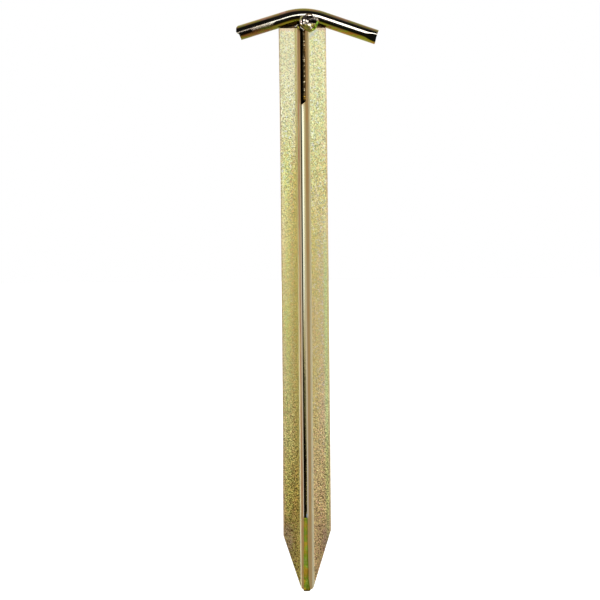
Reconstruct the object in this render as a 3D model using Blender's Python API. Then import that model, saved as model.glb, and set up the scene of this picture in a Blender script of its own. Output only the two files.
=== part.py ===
"""Tent peg. A sheet-steel strip folded into a T section, a bent round bar across
its head, and the weld beads that hold them together. Metres, +Z up, the camera
side is -Y. z = 0 is the soil surface when the peg is driven in; inside this
file lengths are millimetres and heights are measured from the section's top
edge, so the tip is at -SHAFT_LENGTH."""

import math

import bmesh
import bpy
from mathutils import Vector

MM = 0.001
GAP = 0.3  # clearance kept between neighbouring solids

# Folded section
SHAFT_LENGTH = 300.0
SHAFT_TOP = 15.0  # height of the top edge over the soil surface
FLANGE_WIDTH = 25.0
SHEET = 1.5
RIB_DEPTH = 18.0  # from the flange's front face to the back of the fold
SLOT_TOP = 2.8  # slot width at the head
SLOT_TIP = 1.75  # slot width at the tip
BEND_LEFT_TOP = 1.8  # outer radius of the bend left of the slot, at the head
BEND_LEFT_TIP = 1.95
BEND_RIGHT_TOP = 2.0
BEND_RIGHT_TIP = 3.4
FOLD_TOP_X = 0.08  # the fold's middle, which wanders to the left on its way down
FOLD_TIP_X = -0.80

# Point
CUT_LEFT_START = -270.5  # where each side starts to be cut away
CUT_RIGHT_START = -267.3
CUT_LEFT_SLOPE = 0.329  # mm inward for each mm down
CUT_RIGHT_SLOPE = 0.310
NOSE_Z = -298.9  # where the sheet ends
NOSE_RADIUS = 3.0
RIB_CUT_TOP = -257.0  # height where the rib's diagonal cut leaves its back
RIB_CUT_NOSE_Y = 4.0  # depth left at the nose

# Bent bar
BAR_DIAMETER = 8.0
BAR_BEND_RADIUS = 30.0  # of the centre line
BAR_HALF_BEND = 17.93  # degrees, each arm below level
BAR_TILT = 1.48  # degrees that the whole bar is turned, right arm down
BAR_CORNER = (1.2, 2.9, 8.3)  # where the two arms' centre lines would meet
BAR_LEFT = 37.3  # from that corner to each end
BAR_RIGHT = 40.6
BAR_LEFT_SHEAR = 7.0  # degrees that each end is off square
BAR_RIGHT_SHEAR = 3.0

# Welds
LUMP_BLEND = 9.0  # how sharply the ellipsoids of one weld lump meet
WELD_SEAM_Y = 0.8  # where the front and rear beads meet over the flange's top edge
SLOT_WELD_END = -40.0
SLOT_WELD_FACE = 1.3  # depth of the bead's crest behind the flange's face
TIP_WELD_TOP = -260.8
TIP_WELD_FACE = 1.0


def lerp(a, b, t):
    return a + (b - a) * t


def clear_scene():
    for thing in list(bpy.data.objects):
        bpy.data.objects.remove(thing, do_unlink=True)
    for mesh in list(bpy.data.meshes):
        bpy.data.meshes.remove(mesh)


def steel(name, colour, roughness, metallic):
    """One Principled material."""
    material = bpy.data.materials.new(name)
    material.use_nodes = True
    shader = material.node_tree.nodes["Principled BSDF"]
    shader.inputs["Base Color"].default_value = (*colour, 1.0)
    shader.inputs["Roughness"].default_value = roughness
    shader.inputs["Metallic"].default_value = metallic
    material.diffuse_color = (*colour, 1.0)
    return material


def add_object(name, bm, material, smooth_deg=30.0):
    """The mesh, scaled from millimetres, as a named object."""
    bmesh.ops.scale(bm, vec=(MM, MM, MM), verts=bm.verts)
    bmesh.ops.recalc_face_normals(bm, faces=bm.faces)
    mesh = bpy.data.meshes.new(name)
    bm.to_mesh(mesh)
    bm.free()
    mesh.shade_smooth()
    mesh.set_sharp_from_angle(angle=math.radians(smooth_deg))
    thing = bpy.data.objects.new(name, mesh)
    bpy.context.scene.collection.objects.link(thing)
    if material:
        mesh.materials.append(material)
    return thing


def helper(thing):
    """A cutter: never rendered, drawn as wires."""
    thing.hide_render = True
    thing.display_type = "WIRE"
    return thing


def boolean(target, cutter, operation):
    modifier = target.modifiers.new(operation.lower() + "_" + cutter.name, "BOOLEAN")
    modifier.operation = operation
    modifier.solver = "EXACT"
    modifier.object = cutter
    return modifier


def loft(bm, rings):
    """Closed rings of equal length joined by quads, with both ends capped."""
    loops = [[bm.verts.new(point) for point in ring] for ring in rings]
    count = len(loops[0])
    for low, high in zip(loops, loops[1:]):
        for i in range(count):
            j = (i + 1) % count
            bm.faces.new((low[i], low[j], high[j], high[i]))
    bm.faces.new(loops[0][::-1])
    bm.faces.new(loops[-1])
    return loops


def arc(cx, cy, radius, start, end, steps):
    """Points on an arc, both ends included, angles in degrees."""
    return [
        (
            cx + radius * math.cos(math.radians(lerp(start, end, k / steps))),
            cy + radius * math.sin(math.radians(lerp(start, end, k / steps))),
        )
        for k in range(steps + 1)
    ]


def fold_x(z):
    """Where the middle of the fold and its slot is at a height."""
    return lerp(FOLD_TOP_X, FOLD_TIP_X, -z / SHAFT_LENGTH)


def section(z, bend_steps=6, fold_steps=10):
    """The folded sheet's outline at a height, in (x, y), seen from above."""
    t = -z / SHAFT_LENGTH
    mid = fold_x(z)
    half_slot = lerp(SLOT_TOP, SLOT_TIP, t) / 2
    left = lerp(BEND_LEFT_TOP, BEND_LEFT_TIP, t)
    right = lerp(BEND_RIGHT_TOP, BEND_RIGHT_TIP, t)
    half_rib = half_slot + SHEET
    fold_y = RIB_DEPTH - half_rib
    half = FLANGE_WIDTH / 2
    front = [(-half, 0.0)]
    front += arc(mid - half_slot - left, left, left, -90, 0, bend_steps)
    front += arc(mid, fold_y, half_slot, 180, 0, fold_steps)
    front += arc(mid + half_slot + right, right, right, 180, 270, bend_steps)
    front += [(half, 0.0), (half, SHEET)]
    inner = right - SHEET
    back = arc(mid + half_rib + inner, SHEET + inner, inner, -90, -180, bend_steps)
    back += arc(mid, fold_y, half_rib, 0, 180, fold_steps + 4)
    inner = left - SHEET
    back += arc(mid - half_rib - inner, SHEET + inner, inner, 0, -90, bend_steps)
    return front + back + [(-half, SHEET)]


def point_outline():
    """The shaft's front outline, in (x, z), with the rounded nose."""
    wide = FLANGE_WIDTH / 2 + 1.0
    left_top = CUT_LEFT_START + 1.0 / CUT_LEFT_SLOPE
    right_top = CUT_RIGHT_START + 1.0 / CUT_RIGHT_SLOPE
    left_angle = math.degrees(math.atan(CUT_LEFT_SLOPE))
    right_angle = math.degrees(math.atan(CUT_RIGHT_SLOPE))
    radius = NOSE_RADIUS
    centre_z = NOSE_Z + radius
    # The nose arcs touch both the sloping side and the level end.
    left_side = -FLANGE_WIDTH / 2 + CUT_LEFT_SLOPE * (CUT_LEFT_START - centre_z)
    right_side = FLANGE_WIDTH / 2 - CUT_RIGHT_SLOPE * (CUT_RIGHT_START - centre_z)
    left_centre = left_side + radius / math.cos(math.radians(left_angle))
    right_centre = right_side - radius / math.cos(math.radians(right_angle))
    outline = [(-wide, 2.0), (-wide, left_top)]
    outline += arc(left_centre, centre_z, radius, 180 + left_angle, 270, 6)
    outline += arc(right_centre, centre_z, radius, 270, 360 - right_angle, 6)
    return outline + [(wide, right_top), (wide, 2.0)]


def make_shaft(material):
    bm = bmesh.new()
    levels = [-SHAFT_LENGTH - 2.0, 0.0]
    rings = []
    for z in levels:
        rings.append([(x, y, z) for x, y in section(z)])
    loft(bm, rings)
    shaft = add_object("tee_shaft", bm, material)

    bm = bmesh.new()
    outline = point_outline()
    loft(bm, [[(x, y, z) for x, z in outline] for y in (-3.0, RIB_DEPTH + 3.0)])
    keep = helper(add_object("point_outline_tool", bm, None))
    boolean(shaft, keep, "INTERSECT")

    bm = bmesh.new()
    slope = (RIB_DEPTH - RIB_CUT_NOSE_Y) / (RIB_CUT_TOP + SHAFT_LENGTH)
    low_z = -SHAFT_LENGTH - 10.0
    low_y = RIB_CUT_NOSE_Y - slope * 10.0
    high_y = RIB_DEPTH + 4.0
    high_z = RIB_CUT_TOP + 4.0 / slope
    side = [(low_y, low_z), (high_y, high_z), (high_y + 8.0, high_z), (high_y + 8.0, low_z)]
    loft(bm, [[(x, y, z) for y, z in side] for x in (-15.0, 15.0)])
    away = helper(add_object("rib_cut_tool", bm, None))
    boolean(shaft, away, "DIFFERENCE")
    return shaft


def bar_path(left, right, steps):
    """Centre line of the bar about its corner, as (x, z, angle) from left to right."""
    half = math.radians(BAR_HALF_BEND)
    tangent = BAR_BEND_RADIUS * math.tan(half)
    centre_z = -BAR_BEND_RADIUS / math.cos(half)
    points = [(-left * math.cos(half), -left * math.sin(half), half)]
    points.append((-tangent * math.cos(half), -tangent * math.sin(half), half))
    for k in range(1, steps):
        a = lerp(half, -half, k / steps)
        points.append(
            (-BAR_BEND_RADIUS * math.sin(a), centre_z + BAR_BEND_RADIUS * math.cos(a), a)
        )
    points.append((tangent * math.cos(half), -tangent * math.sin(half), -half))
    points.append((right * math.cos(half), -right * math.sin(half), -half))
    return points


def bar_mesh(radius, left, right, sides, steps, left_shear=0.0, right_shear=0.0):
    """Round bar swept along the bent centre line. The end rings lean by the shear."""
    bm = bmesh.new()
    rings = []
    path = bar_path(left, right, steps)
    for n, (x, z, a) in enumerate(path):
        along = Vector((math.cos(a), 0.0, math.sin(a)))
        across = Vector((-math.sin(a), 0.0, math.cos(a)))
        lean = {0: math.tan(math.radians(left_shear))}.get(n, 0.0)
        if n == len(path) - 1:
            lean = -math.tan(math.radians(right_shear))
        ring = []
        for k in range(sides):
            turn = 2 * math.pi * (k + 0.5) / sides
            up = radius * math.cos(turn)
            side = radius * math.sin(turn)
            centre = Vector((x, 0.0, z))
            ring.append(centre + across * up + Vector((0.0, side, 0.0)) - along * lean * up)
        rings.append(ring)
    loft(bm, rings)
    return bm


def place_bar(thing):
    thing.location = Vector(BAR_CORNER) * MM + Vector((0.0, 0.0, SHAFT_TOP * MM))
    thing.rotation_euler = (0.0, math.radians(BAR_TILT), 0.0)


def make_bar(material):
    bm = bar_mesh(
        BAR_DIAMETER / 2, BAR_LEFT, BAR_RIGHT, 28, 12, BAR_LEFT_SHEAR, BAR_RIGHT_SHEAR
    )
    bar = add_object("cross_bar", bm, material, 40.0)
    place_bar(bar)
    bevel = bar.modifiers.new("end_edges", "BEVEL")
    bevel.width = 0.5 * MM
    bevel.segments = 2
    bevel.limit_method = "ANGLE"
    bevel.angle_limit = math.radians(60.0)
    return bar


def bar_clearance():
    tool = helper(
        add_object("bar_clearance_tool", bar_mesh(BAR_DIAMETER / 2 + GAP, 30, 30, 32, 14), None)
    )
    place_bar(tool)
    return tool


def shaft_clearance():
    """The head of the section, GAP larger all round, as a cutter for the welds there."""
    bm = bmesh.new()
    top = GAP
    low = -14.0
    half = FLANGE_WIDTH / 2 + GAP
    rib = SLOT_TOP / 2 + SHEET + GAP
    outline = [
        (-half, -GAP),
        (half, -GAP),
        (half, SHEET + GAP),
        (FOLD_TOP_X + rib, SHEET + GAP),
        (FOLD_TOP_X + rib, RIB_DEPTH + 1.0),
        (FOLD_TOP_X - rib, RIB_DEPTH + 1.0),
        (FOLD_TOP_X - rib, SHEET + GAP),
        (-half, SHEET + GAP),
    ]
    loft(bm, [[(x, y, z) for x, y in outline] for z in (low, top)])
    tool = helper(add_object("shaft_clearance_tool", bm, None))
    tool.location.z = SHAFT_TOP * MM
    return tool


def slab(name, y_low, y_high):
    """A box across the head that keeps the front and the rear beads apart."""
    bm = bmesh.new()
    loft(
        bm,
        [
            [(-20.0, y, -15.0), (20.0, y, -15.0), (20.0, y, 15.0), (-20.0, y, 15.0)]
            for y in (y_low, y_high)
        ],
    )
    tool = helper(add_object(name, bm, None))
    tool.location.z = SHAFT_TOP * MM
    return tool


def weld_lump(name, material, centre, parts, detail=4):
    """A weld lump: the smooth union of ellipsoids that all hold one centre.
    parts are (centre, radii)."""
    bm = bmesh.new()
    bmesh.ops.create_icosphere(bm, subdivisions=detail, radius=1.0)
    middle = Vector(centre)
    for vert in bm.verts:
        n = vert.co.normalized()
        total = 0.0
        for other, radii in parts:
            # Distance from the middle to this ellipsoid along n.
            p = Vector([(middle[i] - other[i]) / radii[i] for i in range(3)])
            q = Vector([n[i] / radii[i] for i in range(3)])
            dot = p.dot(q)
            reach = (-dot + math.sqrt(dot * dot - q.dot(q) * (p.dot(p) - 1.0))) / q.dot(q)
            total += reach**LUMP_BLEND
        vert.co = middle + n * total ** (1.0 / LUMP_BLEND)
    thing = add_object(name, bm, material)
    thing.location.z = SHAFT_TOP * MM
    return thing


def bead(name, material, profile, levels):
    """A bead in the slot: one cross-section, scaled at each height about the fold's
    middle."""
    bm = bmesh.new()
    rings = []
    for z, wide, deep in levels:
        mid = fold_x(z)
        rings.append(
            [(mid + x * wide, profile[0][1] + (y - profile[0][1]) * deep, z) for x, y in profile]
        )
    loft(bm, rings)
    thing = add_object(name, bm, material, 50.0)
    thing.location.z = SHAFT_TOP * MM
    return thing


def main():
    clear_scene()

    sheet = steel("passivated_sheet", (0.55, 0.49, 0.24), 0.42, 1.0)
    bar_steel = steel("passivated_bar", (0.46, 0.40, 0.20), 0.14, 1.0)
    weld_front = steel("passivated_weld_front", (0.46, 0.41, 0.16), 0.22, 1.0)
    weld_rear_left = steel("passivated_weld_rear_left", (0.46, 0.41, 0.16), 0.28, 1.0)
    weld_rear_right = steel("passivated_weld_rear_right", (0.46, 0.41, 0.16), 0.28, 1.0)
    slot_steel = steel("passivated_slot_weld", (0.30, 0.24, 0.12), 0.22, 1.0)
    tip_front = steel("passivated_tip_weld", (0.36, 0.37, 0.08), 0.30, 1.0)
    tip_rear = steel("passivated_tip_rear_weld", (0.40, 0.38, 0.13), 0.30, 1.0)

    ground = bpy.data.objects.new("ground_line", None)
    bpy.context.scene.collection.objects.link(ground)

    shaft = make_shaft(sheet)
    for part in (shaft, bpy.data.objects["point_outline_tool"], bpy.data.objects["rib_cut_tool"]):
        part.location.z = SHAFT_TOP * MM
    bar = make_bar(bar_steel)
    bar_room = bar_clearance()
    shaft_room = shaft_clearance()

    # Front lump: it leans right of the slot, over the bar's lower front and
    # the top of the right flange, with a toe that runs left under the bar.
    front = weld_lump(
        "head_weld_front",
        weld_front,
        (2.6, -0.7, 2.2),
        [
            ((4.1, -0.9, 2.7), (3.8, 2.7, 4.4)),
            ((0.9, -0.2, 1.5), (4.2, 1.5, 1.9)),
            ((4.9, -0.6, 1.6), (3.5, 2.6, 3.3)),
        ],
    )
    # Rear fillets: long low beads in the corner under the bar, behind the
    # flanges and over the rib's end, one on each side of the middle.
    rear_left = weld_lump(
        "head_weld_rear_left",
        weld_rear_left,
        (-5.0, 3.6, 0.6),
        [
            ((-6.3, 3.3, 0.3), (5.7, 2.5, 2.9)),
            ((-3.6, 4.0, 0.7), (3.2, 2.9, 3.2)),
        ],
    )
    rear_right = weld_lump(
        "head_weld_rear_right",
        weld_rear_right,
        (5.2, 3.6, 0.6),
        [
            ((6.6, 3.3, 0.2), (5.6, 2.6, 3.1)),
            ((3.7, 3.9, 0.8), (3.2, 2.9, 3.0)),
        ],
    )
    behind = slab("rear_side_tool", WELD_SEAM_Y - GAP / 2, 25.0)
    before = slab("front_side_tool", -25.0, WELD_SEAM_Y + GAP / 2)
    for weld in (front, rear_left, rear_right):
        boolean(weld, bar_room, "DIFFERENCE")
        boolean(weld, shaft_room, "DIFFERENCE")
        boolean(weld, behind if weld is front else before, "DIFFERENCE")

    # Bead in the head of the slot: round front, straight sides.
    half = SLOT_TOP / 2 - GAP - 0.12
    face = SLOT_WELD_FACE
    round_front = [(0.0, face)] + [
        (half * math.sin(math.radians(a)), face + 0.55 * (1 - math.cos(math.radians(a))))
        for a in (30, 60, 90)
    ]
    back = [(half, face + 3.4), (-half, face + 3.4)]
    mirrored = [(-x, y) for x, y in round_front[:0:-1]]
    slot_weld = bead(
        "slot_weld",
        slot_steel,
        round_front + back + mirrored,
        [(SLOT_WELD_END, 0.45, 0.55), (SLOT_WELD_END + 0.7, 0.85, 0.85), (SLOT_WELD_END + 2.2, 0.97, 1.0), (-0.2, 1.0, 1.0)],
    )

    # Bead in the slot at the tip: its face slopes back from the left bend to the
    # right one, and it ends in the rounded nose.
    face = TIP_WELD_FACE
    right = [(0.0, face + 0.25), (0.8, face + 0.75), (0.62, face + 1.4), (0.54, 3.6)]
    left = [(-0.54, 3.6), (-0.55, face + 1.25), (-0.58, face + 0.5), (-0.78, face)]
    tip_front_weld = bead(
        "tip_weld_front",
        tip_front,
        right + left,
        [(-SHAFT_LENGTH, 0.45, 0.8), (-SHAFT_LENGTH + 0.5, 0.9, 0.95), (-SHAFT_LENGTH + 1.2, 1.0, 1.0), (TIP_WELD_TOP, 1.0, 1.0)],
    )

    # Bead along the rib's diagonal cut: half an ellipse swept down the slope.
    bm = bmesh.new()
    slope = (RIB_DEPTH - RIB_CUT_NOSE_Y) / (RIB_CUT_TOP + SHAFT_LENGTH)
    down = Vector((0.0, -slope, -1.0)).normalized()
    out = Vector((0.0, 1.0, -slope)).normalized()
    start = Vector((0.0, RIB_DEPTH - 2.1 * slope, RIB_CUT_TOP - 2.1))
    run = 37.5
    rings = []
    for s, size in ((0.0, 0.5), (0.8, 0.85), (2.0, 1.0), (run - 2.0, 1.0), (run - 0.8, 0.85), (run, 0.5)):
        ring = [
            start + down * s + out * (GAP + 0.8 * size * math.sin(math.radians(a)))
            + Vector((fold_x((start + down * s).z) + 1.35 * size * math.cos(math.radians(a)), 0.0, 0.0))
            for a in range(0, 181, 30)
        ]
        rings.append(ring)
    loft(bm, rings)
    tip_rear_weld = add_object("tip_weld_rear", bm, tip_rear, 50.0)
    tip_rear_weld.location.z = SHAFT_TOP * MM

    for thing in list(bpy.data.objects):
        if thing is not ground:
            thing.parent = ground


main()
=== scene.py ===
"""Tent peg: the finished surfaces. Metres, +Z up, the camera side is -Y.
Inside this file lengths are millimetres and heights are measured from the top
edge of the folded section, which is SHAFT_TOP above the soil surface z = 0."""

import math

import bmesh
import bpy
from mathutils import Matrix, Vector, noise


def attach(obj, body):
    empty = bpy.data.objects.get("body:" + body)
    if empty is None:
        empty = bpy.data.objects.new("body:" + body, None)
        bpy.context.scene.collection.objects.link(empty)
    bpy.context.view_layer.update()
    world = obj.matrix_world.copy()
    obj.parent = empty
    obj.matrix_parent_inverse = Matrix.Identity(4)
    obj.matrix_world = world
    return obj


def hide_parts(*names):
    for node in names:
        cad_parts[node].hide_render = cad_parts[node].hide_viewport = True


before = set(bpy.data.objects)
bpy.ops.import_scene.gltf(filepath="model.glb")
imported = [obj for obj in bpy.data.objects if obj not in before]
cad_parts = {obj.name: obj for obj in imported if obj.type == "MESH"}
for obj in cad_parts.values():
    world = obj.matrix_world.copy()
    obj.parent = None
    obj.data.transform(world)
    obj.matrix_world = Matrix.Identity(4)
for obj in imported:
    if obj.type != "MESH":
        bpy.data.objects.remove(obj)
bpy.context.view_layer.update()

MM = 0.001

# Folded section
SHAFT_LENGTH = 300.0
SHAFT_TOP = 15.0
FLANGE_WIDTH = 25.0
SHEET = 1.5
RIB_DEPTH = 18.0
SLOT_TOP = 2.8
SLOT_TIP = 1.75
BEND_LEFT = (1.8, 1.95)  # outer bend radii, head and tip
BEND_RIGHT = (2.0, 3.4)
# Each bend is an oval arc (its depth by its width, head and tip) that stops turning
# at a slope and runs on flat to the slot's wall.
BEND_LEFT_SHAPE = ((1.0, 1.0), (0.75, 0.75))
BEND_RIGHT_SHAPE = ((0.60, 1.0), (0.75, 0.42))
FOLD_TOP_X = 0.20  # the fold wanders to the left on its way down
FOLD_TIP_X = -0.80

# Point
CUT_LEFT_START = -270.5
CUT_RIGHT_START = -267.3
CUT_LEFT_SLOPE = 0.329
CUT_RIGHT_SLOPE = 0.310
NOSE_Z = -298.9
NOSE_RADIUS = 2.4
RIB_CUT_TOP = -257.0
RIB_CUT_NOSE_Y = 4.0

# Bent bar
BAR_RADIUS = 3.96
BAR_BEND_RADIUS = 30.0
BAR_HALF_BEND = 17.93
BAR_TILT = 1.28
BAR_CORNER = (1.2, 2.9, 8.3)
BAR_LEFT = 37.3
BAR_RIGHT = 40.6

# Welds
SLOT_WELD_END = -39.2
TIP_WELD_TOP = -260.1


def lerp(a, b, t):
    return a + (b - a) * t


def clamp(v, low=0.0, high=1.0):
    return max(low, min(high, v))


def smooth(low, high, v):
    t = clamp((v - low) / (high - low))
    return t * t * (3.0 - 2.0 * t)


def bump_at(p, centre, radii):
    """A smooth bump, 1 at the centre and falling off like a bell."""
    d = sum(((p[i] - centre[i]) / radii[i]) ** 2 for i in range(3))
    return math.exp(-d)


def wave(p, size, seed=0.0):
    """Smooth noise from -1 to 1 with features of that size, in millimetres."""
    return noise.noise(Vector((p[0] / size + seed, p[1] / size + 2.7 * seed, p[2] / size - seed)))


def fold_x(z):
    """Where the middle of the slot is at a height."""
    return lerp(FOLD_TOP_X, FOLD_TIP_X, clamp(-z / SHAFT_LENGTH))


def half_slot(z):
    return lerp(SLOT_TOP, SLOT_TIP, clamp(-z / SHAFT_LENGTH)) / 2


def bow(z):
    """The strip isn't quite straight: how far it stands to the right at a height."""
    t = clamp(-z / SHAFT_LENGTH)
    return 0.24 * math.sin(math.pi * clamp(t / 0.95)) * (1.0 - 0.25 * t) + 0.05 * math.sin(9.0 * t)


# ---------------------------------------------------------------- mesh helpers


def add_object(name, bm, material, sharp=35.0):
    """The mesh, given in millimetres from the section's top edge, as an object."""
    bmesh.ops.translate(bm, vec=(0.0, 0.0, SHAFT_TOP), verts=bm.verts)
    bmesh.ops.scale(bm, vec=(MM, MM, MM), verts=bm.verts)
    bmesh.ops.recalc_face_normals(bm, faces=bm.faces)
    if bm.calc_volume(signed=True) < 0:
        bmesh.ops.reverse_faces(bm, faces=bm.faces)
    mesh = bpy.data.meshes.new(name)
    bm.to_mesh(mesh)
    bm.free()
    mesh.shade_smooth()
    if sharp:
        mesh.set_sharp_from_angle(angle=math.radians(sharp))
    thing = bpy.data.objects.new(name, mesh)
    bpy.context.scene.collection.objects.link(thing)
    if material:
        mesh.materials.append(material)
    return thing


def loft(bm, rings, caps=True):
    loops = [[bm.verts.new(point) for point in ring] for ring in rings]
    count = len(loops[0])
    for low, high in zip(loops, loops[1:]):
        for i in range(count):
            j = (i + 1) % count
            bm.faces.new((low[i], low[j], high[j], high[i]))
    if caps:
        bm.faces.new(loops[0][::-1])
        bm.faces.new(loops[-1])
    return loops


def arc(cx, cy, radius, start, end, steps):
    return [
        (
            cx + radius * math.cos(math.radians(lerp(start, end, k / steps))),
            cy + radius * math.sin(math.radians(lerp(start, end, k / steps))),
        )
        for k in range(steps + 1)
    ]


def left_bend(z):
    t = clamp(-z / SHAFT_LENGTH)
    return lerp(*BEND_LEFT, t), lerp(*BEND_LEFT_SHAPE[0], t), lerp(*BEND_LEFT_SHAPE[1], t)


def right_bend(z):
    t = clamp(-z / SHAFT_LENGTH)
    return lerp(*BEND_RIGHT, t), lerp(*BEND_RIGHT_SHAPE[0], t), lerp(*BEND_RIGHT_SHAPE[1], t)


def bend_depth(turned, radius, flat, steep):
    """How deep a bend is, turned running from 0 on the flange to 1 at the wall."""
    t = min(turned, steep / math.hypot(flat, steep))
    return radius * (flat * (1.0 - math.sqrt(1.0 - t * t)) + steep * (turned - t))


def bend_points(wall, side, radius, flat, steep):
    turn = steep / math.hypot(flat, steep)
    stops = [math.sin(math.asin(turn) * k / 9) for k in range(10)] + [lerp(turn, 1.0, k / 4) for k in (1, 2, 3, 4)]
    return [(wall + side * radius * (1.0 - s), bend_depth(s, radius, flat, steep)) for s in stops]


def bend_reach(depth, radius, flat, steep):
    """How far outside the slot's wall a bend is that deep."""
    low, high = 0.0, 1.0
    for n in range(30):
        half = (low + high) / 2
        if bend_depth(half, radius, flat, steep) < depth:
            low = half
        else:
            high = half
    return radius * (1.0 - low)


def shelf_depth(s, over):
    """The right layer from the slot's mouth, s = 0, down a slope and along a shelf
    that faces forward, to s = 1 beside the crevice at the left layer."""
    depth = 0.0
    for n in range(40):
        q = s * (n + 0.5) / 40
        slope = lerp(0.66, 0.30, q / 0.44) if q < 0.44 else lerp(0.30, -0.09, smooth(0.44, 0.60, q))
        depth += slope * over * s / 40
    return depth


def lean(z):
    """How far the right layer leans over to the left one, just inside the slot."""
    return clamp((-38.6 - z) / 1.8) * lerp(1.0, 0.60, smooth(-190.0, -240.0, z))


def apply_modifiers(thing):
    """The object's own mesh becomes what its modifiers make of it."""
    graph = bpy.context.evaluated_depsgraph_get()
    done = bpy.data.meshes.new_from_object(thing.evaluated_get(graph), depsgraph=graph)
    thing.modifiers.clear()
    thing.data = done


def finish_piece(piece, node):
    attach(piece, "root")
    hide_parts(node)
    return piece


# ------------------------------------------------------------- folded section


def section(z):
    """The folded sheet's outline at a height, in (x, y), seen from above. The long
    edges of the flanges are rounded: they were slit and tumbled."""
    t = clamp(-z / SHAFT_LENGTH)
    gap = half_slot(z)
    mid = fold_x(z)
    left = lerp(*BEND_LEFT, t)
    right = lerp(*BEND_RIGHT, t)
    rib = gap + SHEET
    fold_y = RIB_DEPTH - rib
    # The slit edges wander outwards a little towards the point.
    half = FLANGE_WIDTH / 2 + 0.15 * smooth(-100.0, -140.0, z)
    half_left = FLANGE_WIDTH / 2 + 0.30 * smooth(-205.0, -250.0, z)
    edge, back_edge = 0.45, 0.25
    front = arc(-half_left + edge, edge, edge, 180, 270, 5)
    front += [(-half_left + 0.9, 0.0), (-half_left + 3.0, 0.0), (mid - gap - left - 1.5, 0.0), (mid - gap - left - 0.3, 0.0)]
    front += bend_points(mid - gap, -1, *left_bend(z))
    mouth_left = bend_depth(1.0, *left_bend(z))
    mouth_right = bend_depth(1.0, *right_bend(z))
    inner_x = lerp(mid + gap, mid - gap + 0.46, lean(z))
    inner_gap = (inner_x - mid + gap) / 2
    floor_y = RIB_DEPTH - SHEET - inner_gap
    over = mid + gap - inner_x
    stops = (1.0, 0.86, 0.72, 0.62, 0.56, 0.50, 0.44, 0.34, 0.22, 0.11)
    slant = [(mid + gap - over * s, mouth_right + shelf_depth(s, over) + 0.04 * (1.0 - lean(z)) * (10 - k)) for k, s in enumerate(stops)]
    front += [(mid - gap, lerp(mouth_left, floor_y, k / 4)) for k in (1, 2, 3)]
    front += arc(mid - gap + inner_gap, floor_y, inner_gap, 180, 0, 16)
    front += [(inner_x, lerp(floor_y, slant[0][1], k / 3)) for k in (1, 2)]
    front += slant
    front += bend_points(mid + gap, 1, *right_bend(z))[::-1]
    front += [(mid + gap + right + 0.3, 0.0), (mid + gap + right + 1.5, 0.0), (half - 3.0, 0.0), (half - 0.9, 0.0)]
    front += arc(half - edge, edge, edge, 270, 360, 5)
    back = arc(half - back_edge, SHEET - back_edge, back_edge, 0, 90, 3)
    inner = right - SHEET
    back += [(half - 0.8, SHEET), (mid + rib + inner + 0.4, SHEET)]
    back += arc(mid + rib + inner, SHEET + inner, inner, -90, -180, 8)
    back += [(mid + rib, lerp(SHEET + inner, fold_y, k / 4)) for k in (1, 2, 3)]
    back += arc(mid, fold_y, rib, 0, 180, 24)
    inner = left - SHEET
    back += [(mid - rib, lerp(fold_y, SHEET + inner, k / 4)) for k in (1, 2, 3)]
    back += arc(mid - rib - inner, SHEET + inner, inner, 0, -90, 8)
    back += [(mid - rib - inner - 0.4, SHEET), (-half_left + 0.8, SHEET)]
    back += arc(-half_left + back_edge, SHEET - back_edge, back_edge, 90, 180, 3)
    return front + back


def point_outline():
    """The shaft's front outline, in (x, z), with the rounded nose."""
    wide = FLANGE_WIDTH / 2 + 1.0
    left_top = CUT_LEFT_START + 1.0 / CUT_LEFT_SLOPE
    right_top = CUT_RIGHT_START + 1.0 / CUT_RIGHT_SLOPE
    left_angle = math.degrees(math.atan(CUT_LEFT_SLOPE))
    right_angle = math.degrees(math.atan(CUT_RIGHT_SLOPE))
    radius = NOSE_RADIUS
    centre_z = NOSE_Z + radius
    left_side = -FLANGE_WIDTH / 2 + CUT_LEFT_SLOPE * (CUT_LEFT_START - centre_z)
    right_side = FLANGE_WIDTH / 2 - CUT_RIGHT_SLOPE * (CUT_RIGHT_START - centre_z)
    left_centre = left_side + radius / math.cos(math.radians(left_angle))
    right_centre = right_side - radius / math.cos(math.radians(right_angle))
    outline = [(-wide, 2.0), (-wide, left_top)]
    outline += arc(left_centre, centre_z, radius, 180 + left_angle, 270, 12)
    outline += arc(right_centre, centre_z, radius, 270, 360 - right_angle, 12)
    return outline + [(wide, right_top), (wide, 2.0)]


def rib_cut_y(z):
    """How far back the rib reaches at a height, below the start of its diagonal cut."""
    slope = (RIB_DEPTH - RIB_CUT_NOSE_Y) / (RIB_CUT_TOP + SHAFT_LENGTH)
    return RIB_DEPTH + slope * (z - RIB_CUT_TOP)


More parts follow.
